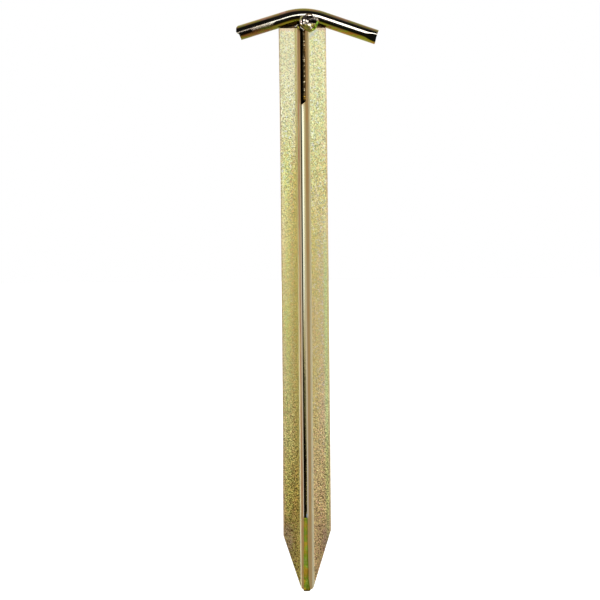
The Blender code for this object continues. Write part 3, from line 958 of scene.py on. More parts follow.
def sheet_material():
    """Satin sheet under a yellow passivation film: fine speckle, slow drifts of
    colour, and smooth burnished bends with browner film."""
    material, g, shader = metal("passivated_sheet")
    at, x, y, z = g.place()
    down = g.line(z, 0.0, -SHAFT_LENGTH)

    # Distance inward from where each bend starts: negative on the flange.
    middle = g.line(z, 0.0, -SHAFT_LENGTH, FOLD_TOP_X, FOLD_TIP_X)
    off = g.sub(x, middle)
    away = g.math("ABSOLUTE", off)
    is_right = g.ease(off, -0.3, 0.3)
    edge = g.blend(
        is_right,
        g.line(z, 0.0, -SHAFT_LENGTH, SLOT_TOP / 2 + BEND_LEFT[0], SLOT_TIP / 2 + BEND_LEFT[1]),
        g.line(z, 0.0, -SHAFT_LENGTH, SLOT_TOP / 2 + BEND_RIGHT[0], SLOT_TIP / 2 + BEND_RIGHT[1]),
    )
    radius = g.blend(
        is_right,
        g.line(z, 0.0, -SHAFT_LENGTH, *BEND_LEFT),
        g.line(z, 0.0, -SHAFT_LENGTH, *BEND_RIGHT),
    )
    inward = g.sub(edge, away)
    turned = g.math("DIVIDE", inward, radius)
    past = g.sub(radius, inward)  # outward from the slot's wall
    front = g.ease(y, 3.9, 2.4)
    is_left = g.sub(1.0, is_right)
    bend = g.mul(g.blend(is_right, g.ease(turned, 0.10, 0.30), g.ease(turned, 0.20, 0.50)), front)
    line = g.mul(g.mul(g.ease(inward, -0.35, 0.05), g.sub(1.0, bend)), front)
    shade = g.mul(g.mul(g.ease(inward, -1.7, -0.5), g.ease(inward, 0.0, -0.3)), g.mul(front, is_left))
    below_bead = g.ease(z, -38.0, -42.0)
    lip_highlight_left = g.mul(g.mul(g.ease(past, 0.0, 0.12), g.ease(past, g.line(z, -190.0, -235.0, 0.80, 0.52), g.line(z, -190.0, -235.0, 0.50, 0.24))), is_left)
    moved = g.sub(past, g.line(z, -130.0, -215.0, -0.12, 0.16))
    lip_highlight_right = g.mul(g.mul(g.ease(moved, -0.22, -0.06), g.ease(moved, 0.42, 0.16)), g.mul(is_right, g.ease(z, -90.0, -140.0)))
    lip = g.mul(g.math("MAXIMUM", lip_highlight_left, lip_highlight_right), g.mul(front, g.ease(z, -261.5, -258.5)))
    within = g.ease(y, RIB_DEPTH - SHEET + 0.35, RIB_DEPTH - SHEET + 0.1)
    inside = g.mul(g.math("MAXIMUM", g.ease(y, 1.6, 3.0), below_bead), g.mul(g.ease(past, 0.10, -0.02), within))
    bend_shade = g.mul(g.mul(g.ease(turned, 0.0, 0.12), g.ease(turned, 0.52, 0.36)), g.mul(g.mul(is_left, front), g.ease(z, -60.0, -210.0, 1.0, 0.25)))
    burnished = g.math("MAXIMUM", g.math("MAXIMUM", bend, line), inside)

    # Speckle: satin pits, one to three to the millimetre.
    grain = g.noise(at, 2.3, 1.0, 0.7)
    spots = g.noise(g.shift(at, 31.0), 1.3, 1.0, 0.5)
    hue = g.noise(g.shift(at, 57.0), 0.75, 2.0, 0.6)
    drift = g.noise(g.stretch(at, (1.0, 1.0, 0.2)), 0.15, 2.0, 0.55)
    patch = g.noise(g.shift(at, 83.0), 0.11, 2.0, 0.6)

    # Film colours at the head and at the point, left and right flange.
    head = g.ramp(hue, [(0.30, srgb(242, 222, 180)), (0.43, srgb(232, 224, 150)), (0.56, srgb(216, 232, 166)), (0.68, srgb(244, 242, 228))])
    calm_left = g.ramp(hue, [(0.30, srgb(237, 225, 170)), (0.43, srgb(229, 226, 158)), (0.56, srgb(220, 230, 164)), (0.68, srgb(240, 240, 196))])
    calm_right = g.ramp(hue, [(0.30, srgb(236, 226, 180)), (0.43, srgb(229, 227, 150)), (0.56, srgb(219, 229, 166)), (0.68, srgb(243, 243, 228))])
    head = g.mix(g.ease(z, -62.0, -105.0), head, g.mix(is_right, calm_left, calm_right))
    head = g.mix(g.ease(drift, 0.48, 0.66, 0.0, 0.45), head, srgb(240, 222, 182))
    low_left = g.ramp(hue, [(0.30, srgb(176, 141, 76)), (0.46, srgb(175, 151, 74)), (0.62, srgb(167, 155, 71)), (0.74, srgb(192, 176, 96))])
    low_right = g.ramp(hue, [(0.30, srgb(210, 168, 130)), (0.46, srgb(210, 175, 124)), (0.62, srgb(201, 175, 114)), (0.74, srgb(222, 192, 150))])
    low = g.mix(is_right, low_left, low_right)
    # Painted highlight: the film is paler and creamier near the head, more on the left.
    head = g.mix(g.mul(g.ease(z, -75.0, -25.0), g.blend(is_right, 0.42, 0.16)), head, srgb(252, 240, 210))
    # Towards the point the film turns darker and more saturated: partly its own colour, partly painted shade.
    colour = g.mix(g.ease(z, -72.0, -285.0), head, low)
    # The film is at its yellowest in the upper middle.
    warm = g.mul(g.ease(z, -40.0, -98.0), g.ease(z, -228.0, -128.0))
    colour = g.mix(warm, colour, g.mix(is_right, (0.89, 0.795, 0.65), (0.89, 0.79, 0.73)), "MULTIPLY")

    # A greener film along the outer right edge, purple grains at the point.
    outer = g.mul(g.ease(x, 9.2, 11.2), g.mul(g.ease(z, -105.0, -130.0), g.ease(z, -292.0, -262.0)))
    colour = g.mix(g.mul(outer, 0.65), colour, srgb(186, 198, 122))
    # The film drifts across each flange: greener outside, browner beside the bend.
    drift_left = g.ramp(g.line(x, -12.0, -4.0), [
        (0.10, (0.814, 0.834, 0.972)), (0.30, (0.725, 0.807, 0.772)), (0.50, (0.717, 0.731, 0.703)),
        (0.70, (0.662, 0.600, 0.590)), (0.90, (0.600, 0.566, 0.440)),
    ])
    drift_right = g.ramp(g.line(x, 4.0, 12.0), [
        (0.05, (0.668, 0.660, 0.572)), (0.30, (0.672, 0.676, 0.650)), (0.50, (0.690, 0.666, 0.738)),
        (0.70, (0.690, 0.676, 0.786)), (0.90, (0.759, 0.828, 0.952)),
    ])
    reach = g.blend(
        is_right,
        g.mul(g.ease(z, -60.0, -80.0), g.ease(z, -268.0, -256.0)),
        g.mul(g.ease(z, -85.0, -105.0), g.ease(z, -235.0, -205.0)),
    )
    sideways = g.mix(1.0, g.mix(is_right, drift_left, drift_right), (1.45, 1.45, 1.45), "MULTIPLY")
    colour = g.mix(reach, colour, sideways, "MULTIPLY")
    tip_zone = g.mul(g.ease(z, -248.0, -272.0), g.ease(g.math("ABSOLUTE", x), 2.5, 8.0))
    colour = g.mix(g.mul(tip_zone, g.ease(grain, 0.50, 0.62, 0.0, 0.7)), colour, srgb(136, 92, 92))
    colour = g.mix(g.mul(tip_zone, g.ease(spots, 0.55, 0.68, 0.0, 0.7)), colour, srgb(104, 116, 62))

    wide = g.mul(g.sub(g.math("ABSOLUTE", x), 10.3), 1.0 / 2.6)
    tall = g.mul(g.add(z, 271.5), 1.0 / 8.0)
    bloom = g.ease(g.math("SQRT", g.add(g.mul(wide, wide), g.mul(tall, tall))), 1.35, 0.5)
    colour = g.mix(g.mul(bloom, g.ease(patch, 0.35, 0.6, 0.20, 0.55)), colour, srgb(156, 130, 112))

    # Light and dark grains, stronger towards the point.
    depth = g.add(1.15, g.ease(z, -128.0, -78.0, 0.0, 1.5))
    depth = g.sub(depth, g.ease(z, -30.0, -4.0, 0.0, 0.8))
    depth = g.add(depth, g.mul(g.ease(z, -165.0, -262.0), g.blend(is_right, 3.7, 2.9)))
    level = g.add(g.mul(g.sub(grain, 0.5), 1.0), g.mul(g.sub(spots, 0.5), 0.7))
    level = g.add(1.0, g.mul(g.mul(level, depth), g.sub(1.0, burnished)))
    grey = g.node("ShaderNodeCombineColor")
    for k in range(3):
        g.set(grey.inputs[k], g.math("MAXIMUM", level, 0.15))
    colour = g.mix(1.0, colour, grey.outputs[0], "MULTIPLY")
    # Dark pits, only in the lower third.
    pits = g.noise(g.shift(at, 7.0), 1.05, 2.0, 0.6)
    pits = g.mul(g.ease(pits, 0.41, 0.32), g.mul(g.ease(z, -205.0, -258.0), g.sub(1.0, burnished)))
    colour = g.mix(g.mul(pits, g.blend(is_right, 1.0, 0.6)), colour, srgb(84, 70, 30))

    # Worn edges: a thin tan line down both sides, pinker along the top.
    rim = g.ease(g.math("ABSOLUTE", x), 11.5, 12.1)
    colour = g.mix(g.mul(rim, 0.55), colour, srgb(206, 170, 132))
    colour = g.mix(g.ease(z, -2.2, -0.6, 0.0, 0.6), colour, srgb(226, 192, 166))

    # The pale smear of flux that ran down the right flange under the weld.
    along = g.add(g.mul(g.sub(x, 5.4), 0.74), g.mul(g.add(z, 3.2), 0.67))
    across = g.add(g.mul(g.sub(x, 5.4), -0.67), g.mul(g.add(z, 3.2), 0.74))
    smear = g.mul(g.ease(g.math("ABSOLUTE", along), 3.9, 2.4), g.ease(g.math("ABSOLUTE", g.add(across, g.mul(g.sub(hue, 0.5), 2.0))), 1.15, 0.35))
    colour = g.mix(g.mul(smear, 0.75), colour, srgb(214, 218, 208))

    # Bends: painted shade, a darker band, beside the left one; a painted line where they
    # start, olive at the head of the left one and a pale painted highlight elsewhere; then
    # brown; then a pale painted highlight along the lip where they turn into the slot.
    # Painted shade: a darker band beside the left bend, strongest at the head.
    colour = g.mix(g.mul(shade, g.blend(down, 0.95, 0.25)), colour, srgb(190, 176, 104))
    # Painted light and shade: the line is darker olive at the head of the left bend and a pale painted highlight
    # further down and on the right.
    painted_light_line_left = g.mix(g.ease(down, 0.05, 0.8), srgb(158, 150, 98), srgb(255, 250, 206))
    painted_light_line_right = g.mix(g.ease(down, 0.0, 0.8), srgb(232, 214, 160), srgb(252, 242, 200))
    colour = g.mix(g.mul(line, 0.9), colour, g.mix(is_right, painted_light_line_left, painted_light_line_right))
    stripe = g.noise(g.stretch(at, (1.0, 1.0, 0.12)), 0.9, 2.0, 0.5)
    brown = g.ramp(stripe, [(0.35, srgb(186, 138, 102)), (0.6, srgb(190, 156, 106))])
    brown = g.mix(is_right, brown, g.ramp(stripe, [(0.35, srgb(204, 162, 104)), (0.6, srgb(200, 170, 116))]))
    colour = g.mix(bend, colour, brown)
    # Painted shade: the left bend's turning part is darkened, most at the head.
    colour = g.mix(bend_shade, colour, (0.48, 0.46, 0.47), "MULTIPLY")
    # Painted highlight: a pale band along the lip of each bend where it turns into the slot.
    pale = g.mix(below_bead, srgb(206, 168, 116), srgb(230, 212, 172))
    pale = g.mix(g.ease(z, -60.0, -150.0), pale, srgb(250, 236, 206))
    pale = g.mix(g.ease(z, -210.0, -235.0), pale, g.mix(is_right, srgb(255, 250, 224), srgb(255, 250, 244)))
    colour = g.mix(g.mul(lip, 0.9), colour, pale)

    # Inside the slot: silver turning brown to the right at the head, golden further
    # down. Painted light and shade: the ramps are pale where the slot's highlight falls
    # and dark in the crevice on the left, and from two thirds of the way the left is dark.
    across = g.line(off, -1.5, 1.5)
    silver = g.ramp(across, [
        (0.14, srgb(112, 114, 92)), (0.24, srgb(146, 149, 130)), (0.50, srgb(152, 150, 132)), (0.58, srgb(200, 196, 162)),
        (0.64, srgb(252, 244, 200)), (0.70, srgb(248, 236, 180)), (0.77, srgb(238, 222, 162)),
        (0.86, srgb(226, 205, 140)), (0.94, srgb(205, 179, 114)), (1.0, srgb(188, 158, 96)),
    ])
    golden = g.ramp(across, [
        (0.18, srgb(90, 82, 50)), (0.28, srgb(150, 140, 96)), (0.50, srgb(146, 134, 92)), (0.58, srgb(186, 174, 126)),
        (0.66, srgb(240, 226, 176)), (0.74, srgb(252, 238, 194)), (0.84, srgb(250, 232, 184)),
        (0.95, srgb(210, 186, 128)),
    ])
    dark = g.ramp(across, [
        (0.20, srgb(44, 42, 20)), (0.42, srgb(64, 63, 28)), (0.54, srgb(86, 84, 46)), (0.66, srgb(176, 168, 126)),
        (0.78, srgb(240, 228, 184)), (0.92, srgb(222, 200, 150)),
    ])
    deep = g.mix(g.ease(z, -134.0, -172.0), silver, golden)
    height = g.add(z, g.mul(g.sub(spots, 0.5), 50.0))
    # Painted shade: lower down the slot the film is darker, most on the left, with mottled dark film by the left wall.
    deep = g.mix(g.ease(height, -168.0, -198.0), deep, dark)
    black = g.ease(g.sub(past, g.line(z, -195.0, -240.0, -0.45, -0.04)), 0.0, -0.2)
    mottle = g.ramp(spots, [(0.40, srgb(68, 60, 30)), (0.60, srgb(128, 118, 66))])
    flecks = g.noise(g.shift(at, 12.0), 1.5, 1.0, 0.5)
    mottle = g.mix(g.ease(flecks, 0.60, 0.65), mottle, srgb(214, 204, 124))
    deep = g.mix(g.mul(g.ease(height, -190.0, -235.0), black), deep, mottle)
    deep = g.mix(g.mul(g.ease(z, -257.9, -258.8), g.ease(off, -0.6, -0.2)), deep, srgb(176, 190, 196))
    # Then painted shade, near black, on the left wall beside the bead.
    colour = g.mix(inside, colour, deep)
    # Painted shade, near black, beside the bead.
    crevice_shade = g.mul(g.mul(g.ease(past, 0.10, -0.08), g.mul(is_left, within)), g.ease(z, -41.0, -37.5))
    colour = g.mix(g.mul(crevice_shade, 0.95), colour, srgb(18, 17, 9))
    g.set(shader.inputs["Base Color"], colour)

    rough = g.add(g.mul(g.sub(grain, 0.5), 0.25), 0.42)
    rough = g.add(rough, g.mul(g.sub(patch, 0.5), 0.10))
    smoothed = g.mul(line, g.sub(1.0, down))
    rough = g.blend(g.math("MAXIMUM", smoothed, bend), rough, 0.30)
    rough = g.blend(inside, rough, g.ease(z, -180.0, -210.0, 0.10, 0.18))
    g.set(shader.inputs["Roughness"], rough)

    height = g.add(grain, g.mul(spots, 0.6))
    strength = g.add(0.32, g.add(g.ease(z, -120.0, -50.0, 0.0, 0.25), g.ease(z, -165.0, -262.0, 0.0, 0.6)))
    strength = g.mul(g.sub(1.0, burnished), strength)
    g.set(shader.inputs["Normal"], g.bump(height, 0.00022, strength))
    return material


def bar_material():
    """Bright drawn bar: a thin silvery film in front, olive, green and brown film
    over the top and underneath, and a scuffed patch on the left arm."""
    material, g, shader = metal("passivated_bar")
    at, x, y, z = g.place()
    facing = g.node("ShaderNodeSeparateXYZ")
    g.set(facing.inputs[0], g.node("ShaderNodeNewGeometry").outputs["Normal"])
    up = facing.outputs[2]
    streak = g.stretch(at, (0.35, 1.0, 1.0))
    tint = g.noise(streak, 0.33, 2.0, 0.6)
    fine = g.noise(g.shift(streak, 19.0), 1.1, 2.0, 0.6)
    mixed = g.add(g.mul(tint, 0.75), g.mul(fine, 0.25))
    above = g.ramp(mixed, [(0.36, srgb(196, 150, 128)), (0.45, srgb(170, 128, 92)), (0.52, srgb(172, 152, 66)), (0.60, srgb(138, 146, 66)), (0.68, srgb(190, 142, 120))])
    below = g.ramp(g.noise(g.shift(streak, 41.0), 0.30, 2.0, 0.6), [(0.36, srgb(178, 118, 48)), (0.46, srgb(166, 146, 40)), (0.56, srgb(148, 158, 46)), (0.66, srgb(170, 110, 70))])
    colour = g.ramp(mixed, [(0.38, srgb(232, 216, 200)), (0.55, srgb(236, 232, 214)), (0.68, srgb(226, 216, 186))])
    # Darker front film on the left arm: painted shade that dims its highlight there, over a scuffed patch of film.
    colour = g.mix(g.ease(x, -14.0, -22.0, 0.0, 0.9), colour, (0.58, 0.53, 0.49), "MULTIPLY")
    above = g.mix(g.ease(x, 6.0, 12.0), above, (0.70, 0.72, 0.62), "MULTIPLY")
    below = g.mix(g.ease(x, -8.0, -16.0), below, (0.66, 0.68, 0.95), "MULTIPLY")
    colour = g.mix(g.ease(up, 0.38, 0.68), colour, above)
    colour = g.mix(g.ease(up, -0.10, -0.42), colour, below)
    g.set(shader.inputs["Base Color"], colour)
    scuff = g.mul(
        g.ease(g.math("ABSOLUTE", g.add(x, 21.0)), 7.0, 4.0),
        g.mul(g.ease(up, 0.15, -0.15), g.ease(y, 2.9, 1.2)),
    )
    spots = g.noise(at, 2.4, 3.0, 0.7)
    g.set(shader.inputs["Roughness"], g.add(0.075, g.mul(scuff, g.mul(spots, 0.40))))
    height = g.add(g.mul(g.mul(spots, scuff), 2.2), g.mul(g.noise(at, 0.8, 2.0, 0.5), 0.16))
    g.set(shader.inputs["Normal"], g.bump(height, 0.00012, 0.6))
    return material


def weld_material(name, stops, roughness, bump_strength, scale=0.55):
    material, g, shader = metal(name)
    at, x, y, z = g.place()
    tint = g.noise(at, scale, 3.0, 0.6)
    # Painted shade: near the head, the front of each lump, where it shows through the gap under the bar, is painted
    # dark brown.
    colour = g.mix(g.mul(g.ease(y, 3.4, 2.0), g.ease(z, -20.0, -10.0)), g.ramp(tint, stops), srgb(58, 44, 28))
    g.set(shader.inputs["Base Color"], colour)
    spots = g.noise(at, 2.6, 2.0, 0.6)
    g.set(shader.inputs["Roughness"], g.add(roughness, g.mul(g.sub(spots, 0.5), 0.12)))
    g.set(shader.inputs["Normal"], g.bump(g.add(g.noise(at, 1.7, 3.0, 0.6), g.mul(spots, 0.3)), 0.0001, bump_strength))
    return material


def slot_weld_material():
    """The bead in the slot: painted shade, near black, along the left wall and at its
    end, bronze to the right with pale painted highlight specks, and a golden crater
    where it ends, its film painted brighter where the crater's highlight falls."""
    material, g, shader = metal("passivated_slot_weld")
    at, x, y, z = g.place()
    off = g.sub(x, g.line(z, 0.0, -SHAFT_LENGTH, FOLD_TOP_X, FOLD_TIP_X))
    tint = g.noise(at, 0.8, 3.0, 0.6)
    colour = g.ramp(tint, [(0.36, srgb(70, 58, 34)), (0.52, srgb(104, 88, 52)), (0.66, srgb(126, 96, 62))])
    specks = g.noise(g.shift(at, 12.0), 1.15, 1.0, 0.5)
    # Painted highlights: pale specks on the bead's right half.
    colour = g.mix(g.mul(g.ease(specks, 0.59, 0.64), g.ease(off, -0.3, 0.3)), colour, srgb(240, 222, 180))
    # Golden crater film, painted brighter where its highlight falls.
    crater = g.mul(g.ease(g.math("ABSOLUTE", g.sub(z, -36.8)), 1.3, 0.7), g.ease(off, -0.1, 0.3))
    colour = g.mix(crater, colour, srgb(206, 166, 70))
    # Painted shade: near black along the left wall and at the bead's end.
    crevice_shade = g.ease(g.add(off, g.mul(g.sub(tint, 0.5), 0.8)), 1.0, -0.18)
    crevice_shade = g.math("MAXIMUM", crevice_shade, g.ease(z, -37.6, -38.3))
    colour = g.mix(g.mul(crevice_shade, 0.97), colour, srgb(12, 13, 7))
    g.set(shader.inputs["Base Color"], colour)
    spots = g.noise(at, 2.6, 2.0, 0.6)
    g.set(shader.inputs["Roughness"], g.add(0.22, g.mul(g.sub(spots, 0.5), 0.2)))
    g.set(shader.inputs["Normal"], g.bump(g.noise(at, 1.2, 3.0, 0.6), 0.00016, 0.9))
    return material


def front_weld_material():
    """The front lump: darker and greyer above, golden and olive below, with pale pinkish
    painted highlights on its shelves, left rim and lower left, painted shade in its
    hollows, and green along its right rim."""
    material, g, shader = metal("passivated_weld")
    at, x, y, z = g.place()
    tint = g.noise(at, 0.75, 2.0, 0.6)

    def spot(cx, cz, rx, rz, soft=0.35):
        a = g.math("POWER", g.math("ABSOLUTE", g.mul(g.sub(x, cx), 1.0 / rx)), 2.0)
        b = g.math("POWER", g.math("ABSOLUTE", g.mul(g.sub(z, cz), 1.0 / rz)), 2.0)
        return g.ease(g.math("SQRT", g.add(a, b)), 1.0 + soft, 1.0 - soft)

    def stroke(a, b, half, soft=0.2):
        ux, uz = b[0] - a[0], b[1] - a[1]
        size = ux * ux + uz * uz
        dx, dz = g.sub(x, a[0]), g.sub(z, a[1])
        s = g.math("MULTIPLY", g.add(g.mul(dx, ux), g.mul(dz, uz)), 1.0 / size, clamped=True)
        ex, ez = g.sub(dx, g.mul(s, ux)), g.sub(dz, g.mul(s, uz))
        d = g.math("SQRT", g.add(g.mul(ex, ex), g.mul(ez, ez)))
        return g.ease(d, half + soft, half - soft)

    upper = g.ramp(tint, [(0.36, srgb(120, 104, 92)), (0.50, srgb(176, 168, 158)), (0.64, srgb(104, 92, 66))])
    lower = g.ramp(tint, [(0.36, srgb(206, 150, 70)), (0.48, srgb(204, 190, 84)), (0.60, srgb(168, 172, 66)), (0.70, srgb(214, 160, 130))])
    colour = g.mix(g.ease(z, 2.6, 1.4), upper, lower)
    colour = g.mix(g.ease(z, 6.7, 7.0), colour, srgb(186, 140, 70))
    # Painted highlights: pale film on the two shelves, the lower body and a glint at the top.
    painted_glints = g.math("MAXIMUM", stroke((1.0, 3.9), (2.9, 3.35), 0.5), stroke((1.1, 2.45), (4.2, 1.5), 0.5))
    painted_glints = g.math("MAXIMUM", painted_glints, spot(4.6, 0.2, 0.6, 0.9))
    painted_glints = g.math("MAXIMUM", painted_glints, stroke((3.3, 6.7), (4.7, 6.3), 0.40))
    colour = g.mix(g.mul(painted_glints, 0.85), colour, srgb(250, 236, 216))
    # Painted highlight along the left rim, pinkish above and yellow below.
    rim = g.math("MAXIMUM", stroke((0.05, 6.2), (-0.85, 4.6), 0.42), stroke((-0.9, 4.4), (-0.6, 2.4), 0.55))
    colour = g.mix(g.mul(rim, 0.9), colour, g.mix(g.ease(z, 3.6, 4.6), srgb(248, 226, 212), srgb(236, 232, 150)))
    # Painted shade: dark film in the pit, the groove beside the rim and under the lower left.
    hollow = g.math("MAXIMUM", stroke((3.9, 3.3), (7.1, 3.35), 0.66, 0.42), stroke((0.45, 5.9), (0.24, 4.3), 0.22))
    hollow = g.math("MAXIMUM", hollow, stroke((0.24, 4.3), (0.35, 1.6), 0.26))
    hollow = g.math("MAXIMUM", hollow, g.mul(spot(-0.9, 1.2, 1.6, 1.1), g.ease(y, -0.9, -0.4)))
    colour = g.mix(g.mul(hollow, 0.92), colour, srgb(46, 33, 21))
    # Painted glints: silver streaks on the lower left and on the toe.
    silver = g.math("MAXIMUM", stroke((-0.75, 0.55), (0.75, -1.15), 0.45, 0.1), spot(-3.35, 1.05, 0.75, 0.6))
    silver = g.math("MAXIMUM", silver, spot(-2.4, 1.8, 0.5, 0.45))
    colour = g.mix(g.mul(silver, g.ease(x, 1.0, 0.85)), colour, srgb(246, 238, 226))
    streak = g.mul(spot(-2.1, 0.1, 0.55, 1.1), g.ease(z, 1.25, 0.9))
    colour = g.mix(g.mul(streak, 0.9), colour, srgb(188, 178, 74))
    green = g.math("MAXIMUM", stroke((8.45, 3.3), (7.85, 1.9), 0.72), stroke((7.85, 1.9), (7.0, 0.35), 0.72))
    green = g.math("MAXIMUM", green, stroke((7.0, 0.35), (6.0, -0.95), 0.66))
    colour = g.mix(g.mul(spot(6.2, 1.55, 0.9, 0.6), 0.8), colour, srgb(96, 84, 36))
    colour = g.mix(g.mul(green, 0.95), colour, g.mix(g.ease(z, 0.2, 1.8), srgb(186, 226, 66), srgb(92, 128, 32)))
    colour = g.mix(spot(9.2, 3.9, 0.8, 0.8), colour, srgb(206, 150, 96))
    g.set(shader.inputs["Base Color"], colour)
    rough = g.add(0.085, g.add(g.mul(green, 0.22), g.mul(spot(2.6, 5.5, 2.6, 1.1), 0.13)))
    g.set(shader.inputs["Roughness"], g.add(rough, g.mul(g.sub(tint, 0.5), 0.06)))
    g.set(shader.inputs["Normal"], g.bump(g.noise(at, 1.3, 2.0, 0.5), 0.00006, 0.5))
    return material


# ----------------------------------------------------------------------- build

sheet = sheet_material()
bright = bar_material()
weld_gold = front_weld_material()
weld_rear = weld_material(
    "passivated_rear_weld",
    [(0.30, srgb(140, 104, 60)), (0.48, srgb(196, 176, 96)), (0.62, srgb(166, 160, 70)), (0.75, srgb(200, 160, 130))],
    0.24, 0.5,
)
weld_dark = slot_weld_material()
weld_olive = weld_material(
    "passivated_tip_weld",
    [(0.36, srgb(152, 122, 36)), (0.46, srgb(136, 122, 34)), (0.56, srgb(106, 126, 32)), (0.68, srgb(124, 136, 60))],
    0.30, 0.35, 0.32,
)

finish_piece(make_shaft(sheet), "tee_shaft")
finish_piece(make_bar(bright), "cross_bar")
finish_piece(
    fused("front_weld", weld_gold, weld_body, FRONT_BALLS, FRONT_ROPES, 0.10, 2, front_shape),
    "head_weld_front",
)
finish_piece(
    lump(
        "rear_weld_left", weld_rear, (-5.0, 3.3, 0.6),
        [
            ((-6.3, 3.0, 0.2), (5.7, 2.7, 3.1)),
            ((-3.4, 3.8, 0.7), (3.3, 3.0, 3.4)),
        ],
        rear_shape(-1.0),
    ),
    "head_weld_rear_left",
)
finish_piece(
    lump(
        "rear_weld_right", weld_rear, (5.2, 3.3, 0.6),
        [
            ((6.6, 3.0, 0.1), (5.6, 2.8, 3.3)),
            ((3.5, 3.7, 0.8), (3.3, 3.0, 3.2)),
        ],
        rear_shape(1.0),
    ),
    "head_weld_rear_right",
)
finish_piece(make_slot_weld(weld_dark), "slot_weld")
finish_piece(make_tip_weld(weld_olive), "tip_weld_front")
finish_piece(make_tip_rear_weld(weld_olive), "tip_weld_rear")


# ----------------------------------------------------------------------- stage

def make_floor():
    bm = bmesh.new()
    bmesh.ops.create_grid(bm, x_segments=8, y_segments=8, size=6.0)
    mesh = bpy.data.meshes.new("floor")
    bm.to_mesh(mesh)
    bm.free()
    floor = bpy.data.objects.new("floor", mesh)
    floor.location.z = -0.2864
    bpy.context.scene.collection.objects.link(floor)
    material = bpy.data.materials.new("pale_floor")
    material.use_nodes = True
    g = Graph(material.node_tree)
    tree = material.node_tree
    tree.nodes.clear()
    out = g.node("ShaderNodeOutputMaterial")
    dull = g.node("ShaderNodeBsdfDiffuse")
    dull.inputs["Color"].default_value = (0.80, 0.80, 0.79, 1.0)
    glow = g.node("ShaderNodeEmission")
    glow.inputs["Color"].default_value = (1.0, 1.0, 1.0, 1.0)
    glow.inputs["Strength"].default_value = 0.72
    both = g.node("ShaderNodeAddShader")
    g.set(both.inputs[0], dull.outputs[0])
    g.set(both.inputs[1], glow.outputs[0])
    seen = g.node("ShaderNodeLightPath").outputs["Is Camera Ray"]
    pick = g.node("ShaderNodeMixShader")
    g.set(pick.inputs[0], seen)
    g.set(pick.inputs[1], dull.outputs[0])
    g.set(pick.inputs[2], both.outputs[0])
    g.set(out.inputs["Surface"], pick.outputs[0])
    mesh.materials.append(material)
    floor.visible_glossy = False


# Light, in degrees round from the camera's side to its right and up
BOX_AZIMUTH = 17.5
BOX_ELEVATION = 12.8
BOX_WIDE = 21.0
BOX_TALL = 16.3
BOX_LOW = -20.0
BOX_LIGHT = 3.75
WALL_LIGHT = 0.72


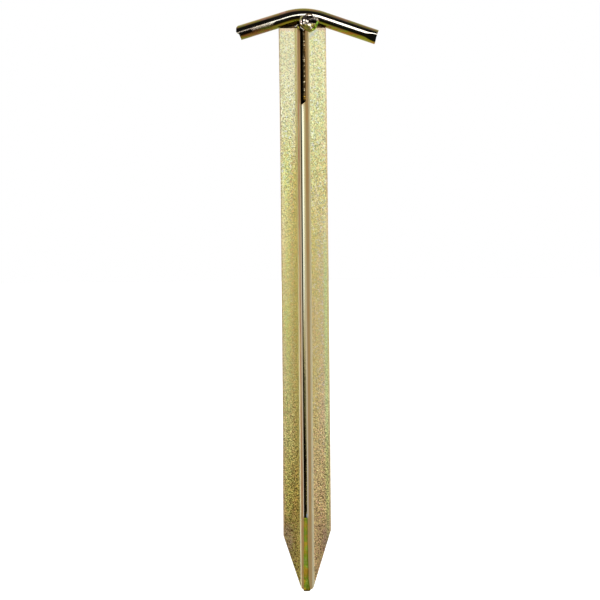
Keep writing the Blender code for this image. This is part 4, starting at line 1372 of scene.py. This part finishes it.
def make_world():
    """The studio: one large round softbox beside and above the camera, pale walls
    on both sides, behind and overhead, dark bands in front, and plain white to look at."""
    world = bpy.data.worlds.new("studio")
    bpy.context.scene.world = world
    world.use_nodes = True
    tree = world.node_tree
    tree.nodes.clear()
    g = Graph(tree)
    at = g.node("ShaderNodeTexCoord").outputs["Generated"]
    unit = g.node("ShaderNodeVectorMath", operation="NORMALIZE")
    g.set(unit.inputs[0], at)
    unit = unit.outputs[0]
    parts = g.node("ShaderNodeSeparateXYZ")
    g.set(parts.inputs[0], unit)
    x, y, z = parts.outputs

    elevation = g.mul(g.math("ARCSINE", z), 180.0 / math.pi)
    compass = g.mul(g.math("ARCTAN2", x, g.mul(y, -1.0)), 180.0 / math.pi)
    around = g.math("ABSOLUTE", compass)
    across = g.math("POWER", g.mul(g.sub(compass, BOX_AZIMUTH), 1.0 / BOX_WIDE), 2.0)
    upward = g.math("POWER", g.mul(g.sub(elevation, BOX_ELEVATION), 1.0 / BOX_TALL), 2.0)
    box = g.ease(g.math("SQRT", g.add(across, upward)), 1.08, 0.92)
    box = g.mul(box, g.ease(elevation, BOX_LOW, BOX_LOW + 24.0))
    # Pale walls on both sides, low in front and higher at the back.
    walls = g.mul(
        g.ease(around, 3.0, 11.0),
        g.ease(elevation, g.line(around, 10.0, 60.0, -15.0, -45.0), g.line(around, 10.0, 60.0, -5.0, -20.0)),
    )
    walls = g.mul(walls, g.ease(elevation, g.line(around, 10.0, 70.0, 17.0, 75.0), g.line(around, 10.0, 70.0, 8.0, 32.0)))
    skirt = g.mul(g.ease(around, 24.0, 42.0), g.ease(elevation, g.line(around, 10.0, 60.0, -5.0, -20.0), g.line(around, 10.0, 60.0, -15.0, -45.0)))
    back = g.ease(y, -0.36, 0.18)
    under = g.ease(elevation, -42.0, -57.0)
    light = g.mul(g.mul(box, g.ease(compass, -8.0, 6.0, 0.45, 1.0)), BOX_LIGHT)
    light = g.add(light, g.mul(walls, WALL_LIGHT))
    light = g.add(light, g.mul(back, 0.72))
    light = g.add(light, g.mul(under, 0.34))
    light = g.add(light, g.mul(g.mul(skirt, g.sub(1.0, back)), 0.40))
    light = g.add(light, 0.012)
    lit = g.node("ShaderNodeBackground")
    g.set(lit.inputs["Strength"], light)
    plain = g.node("ShaderNodeBackground")
    plain.inputs["Strength"].default_value = 1.0
    plain.inputs["Color"].default_value = (1.0, 1.0, 1.0, 1.0)
    seen = g.node("ShaderNodeLightPath").outputs["Is Camera Ray"]
    pick = g.node("ShaderNodeMixShader")
    g.set(pick.inputs[0], seen)
    g.set(pick.inputs[1], lit.outputs[0])
    g.set(pick.inputs[2], plain.outputs[0])
    out = g.node("ShaderNodeOutputWorld")
    g.set(out.inputs["Surface"], pick.outputs[0])


def make_camera():
    """Straight on, nearly level with the head, turned so that the peg leans left."""
    data = bpy.data.cameras.new("camera")
    camera = bpy.data.objects.new("camera", data)
    bpy.context.scene.collection.objects.link(camera)
    data.sensor_width = 36.0
    data.sensor_fit = "HORIZONTAL"
    data.clip_start = 0.01
    data.clip_end = 50.0
    distance = 1.40
    data.lens = 36.0 * distance / 0.3190
    target = Vector((-0.0026, 0.0, -0.1291))
    elevation = math.radians(2.0)
    back = Vector((0.0, -math.cos(elevation), math.sin(elevation)))
    up = Vector((0.0, math.sin(elevation), math.cos(elevation)))
    camera.location = target + back * distance
    right = Vector((1.0, 0.0, 0.0))
    roll = math.radians(-0.57)
    right2 = right * math.cos(roll) + up * math.sin(roll)
    up2 = up * math.cos(roll) - right * math.sin(roll)
    turn = Matrix((right2, up2, back)).transposed()
    camera.rotation_euler = turn.to_euler()
    bpy.context.scene.camera = camera


make_floor()
make_world()
make_camera()
bpy.context.scene.view_settings.view_transform = "Standard"
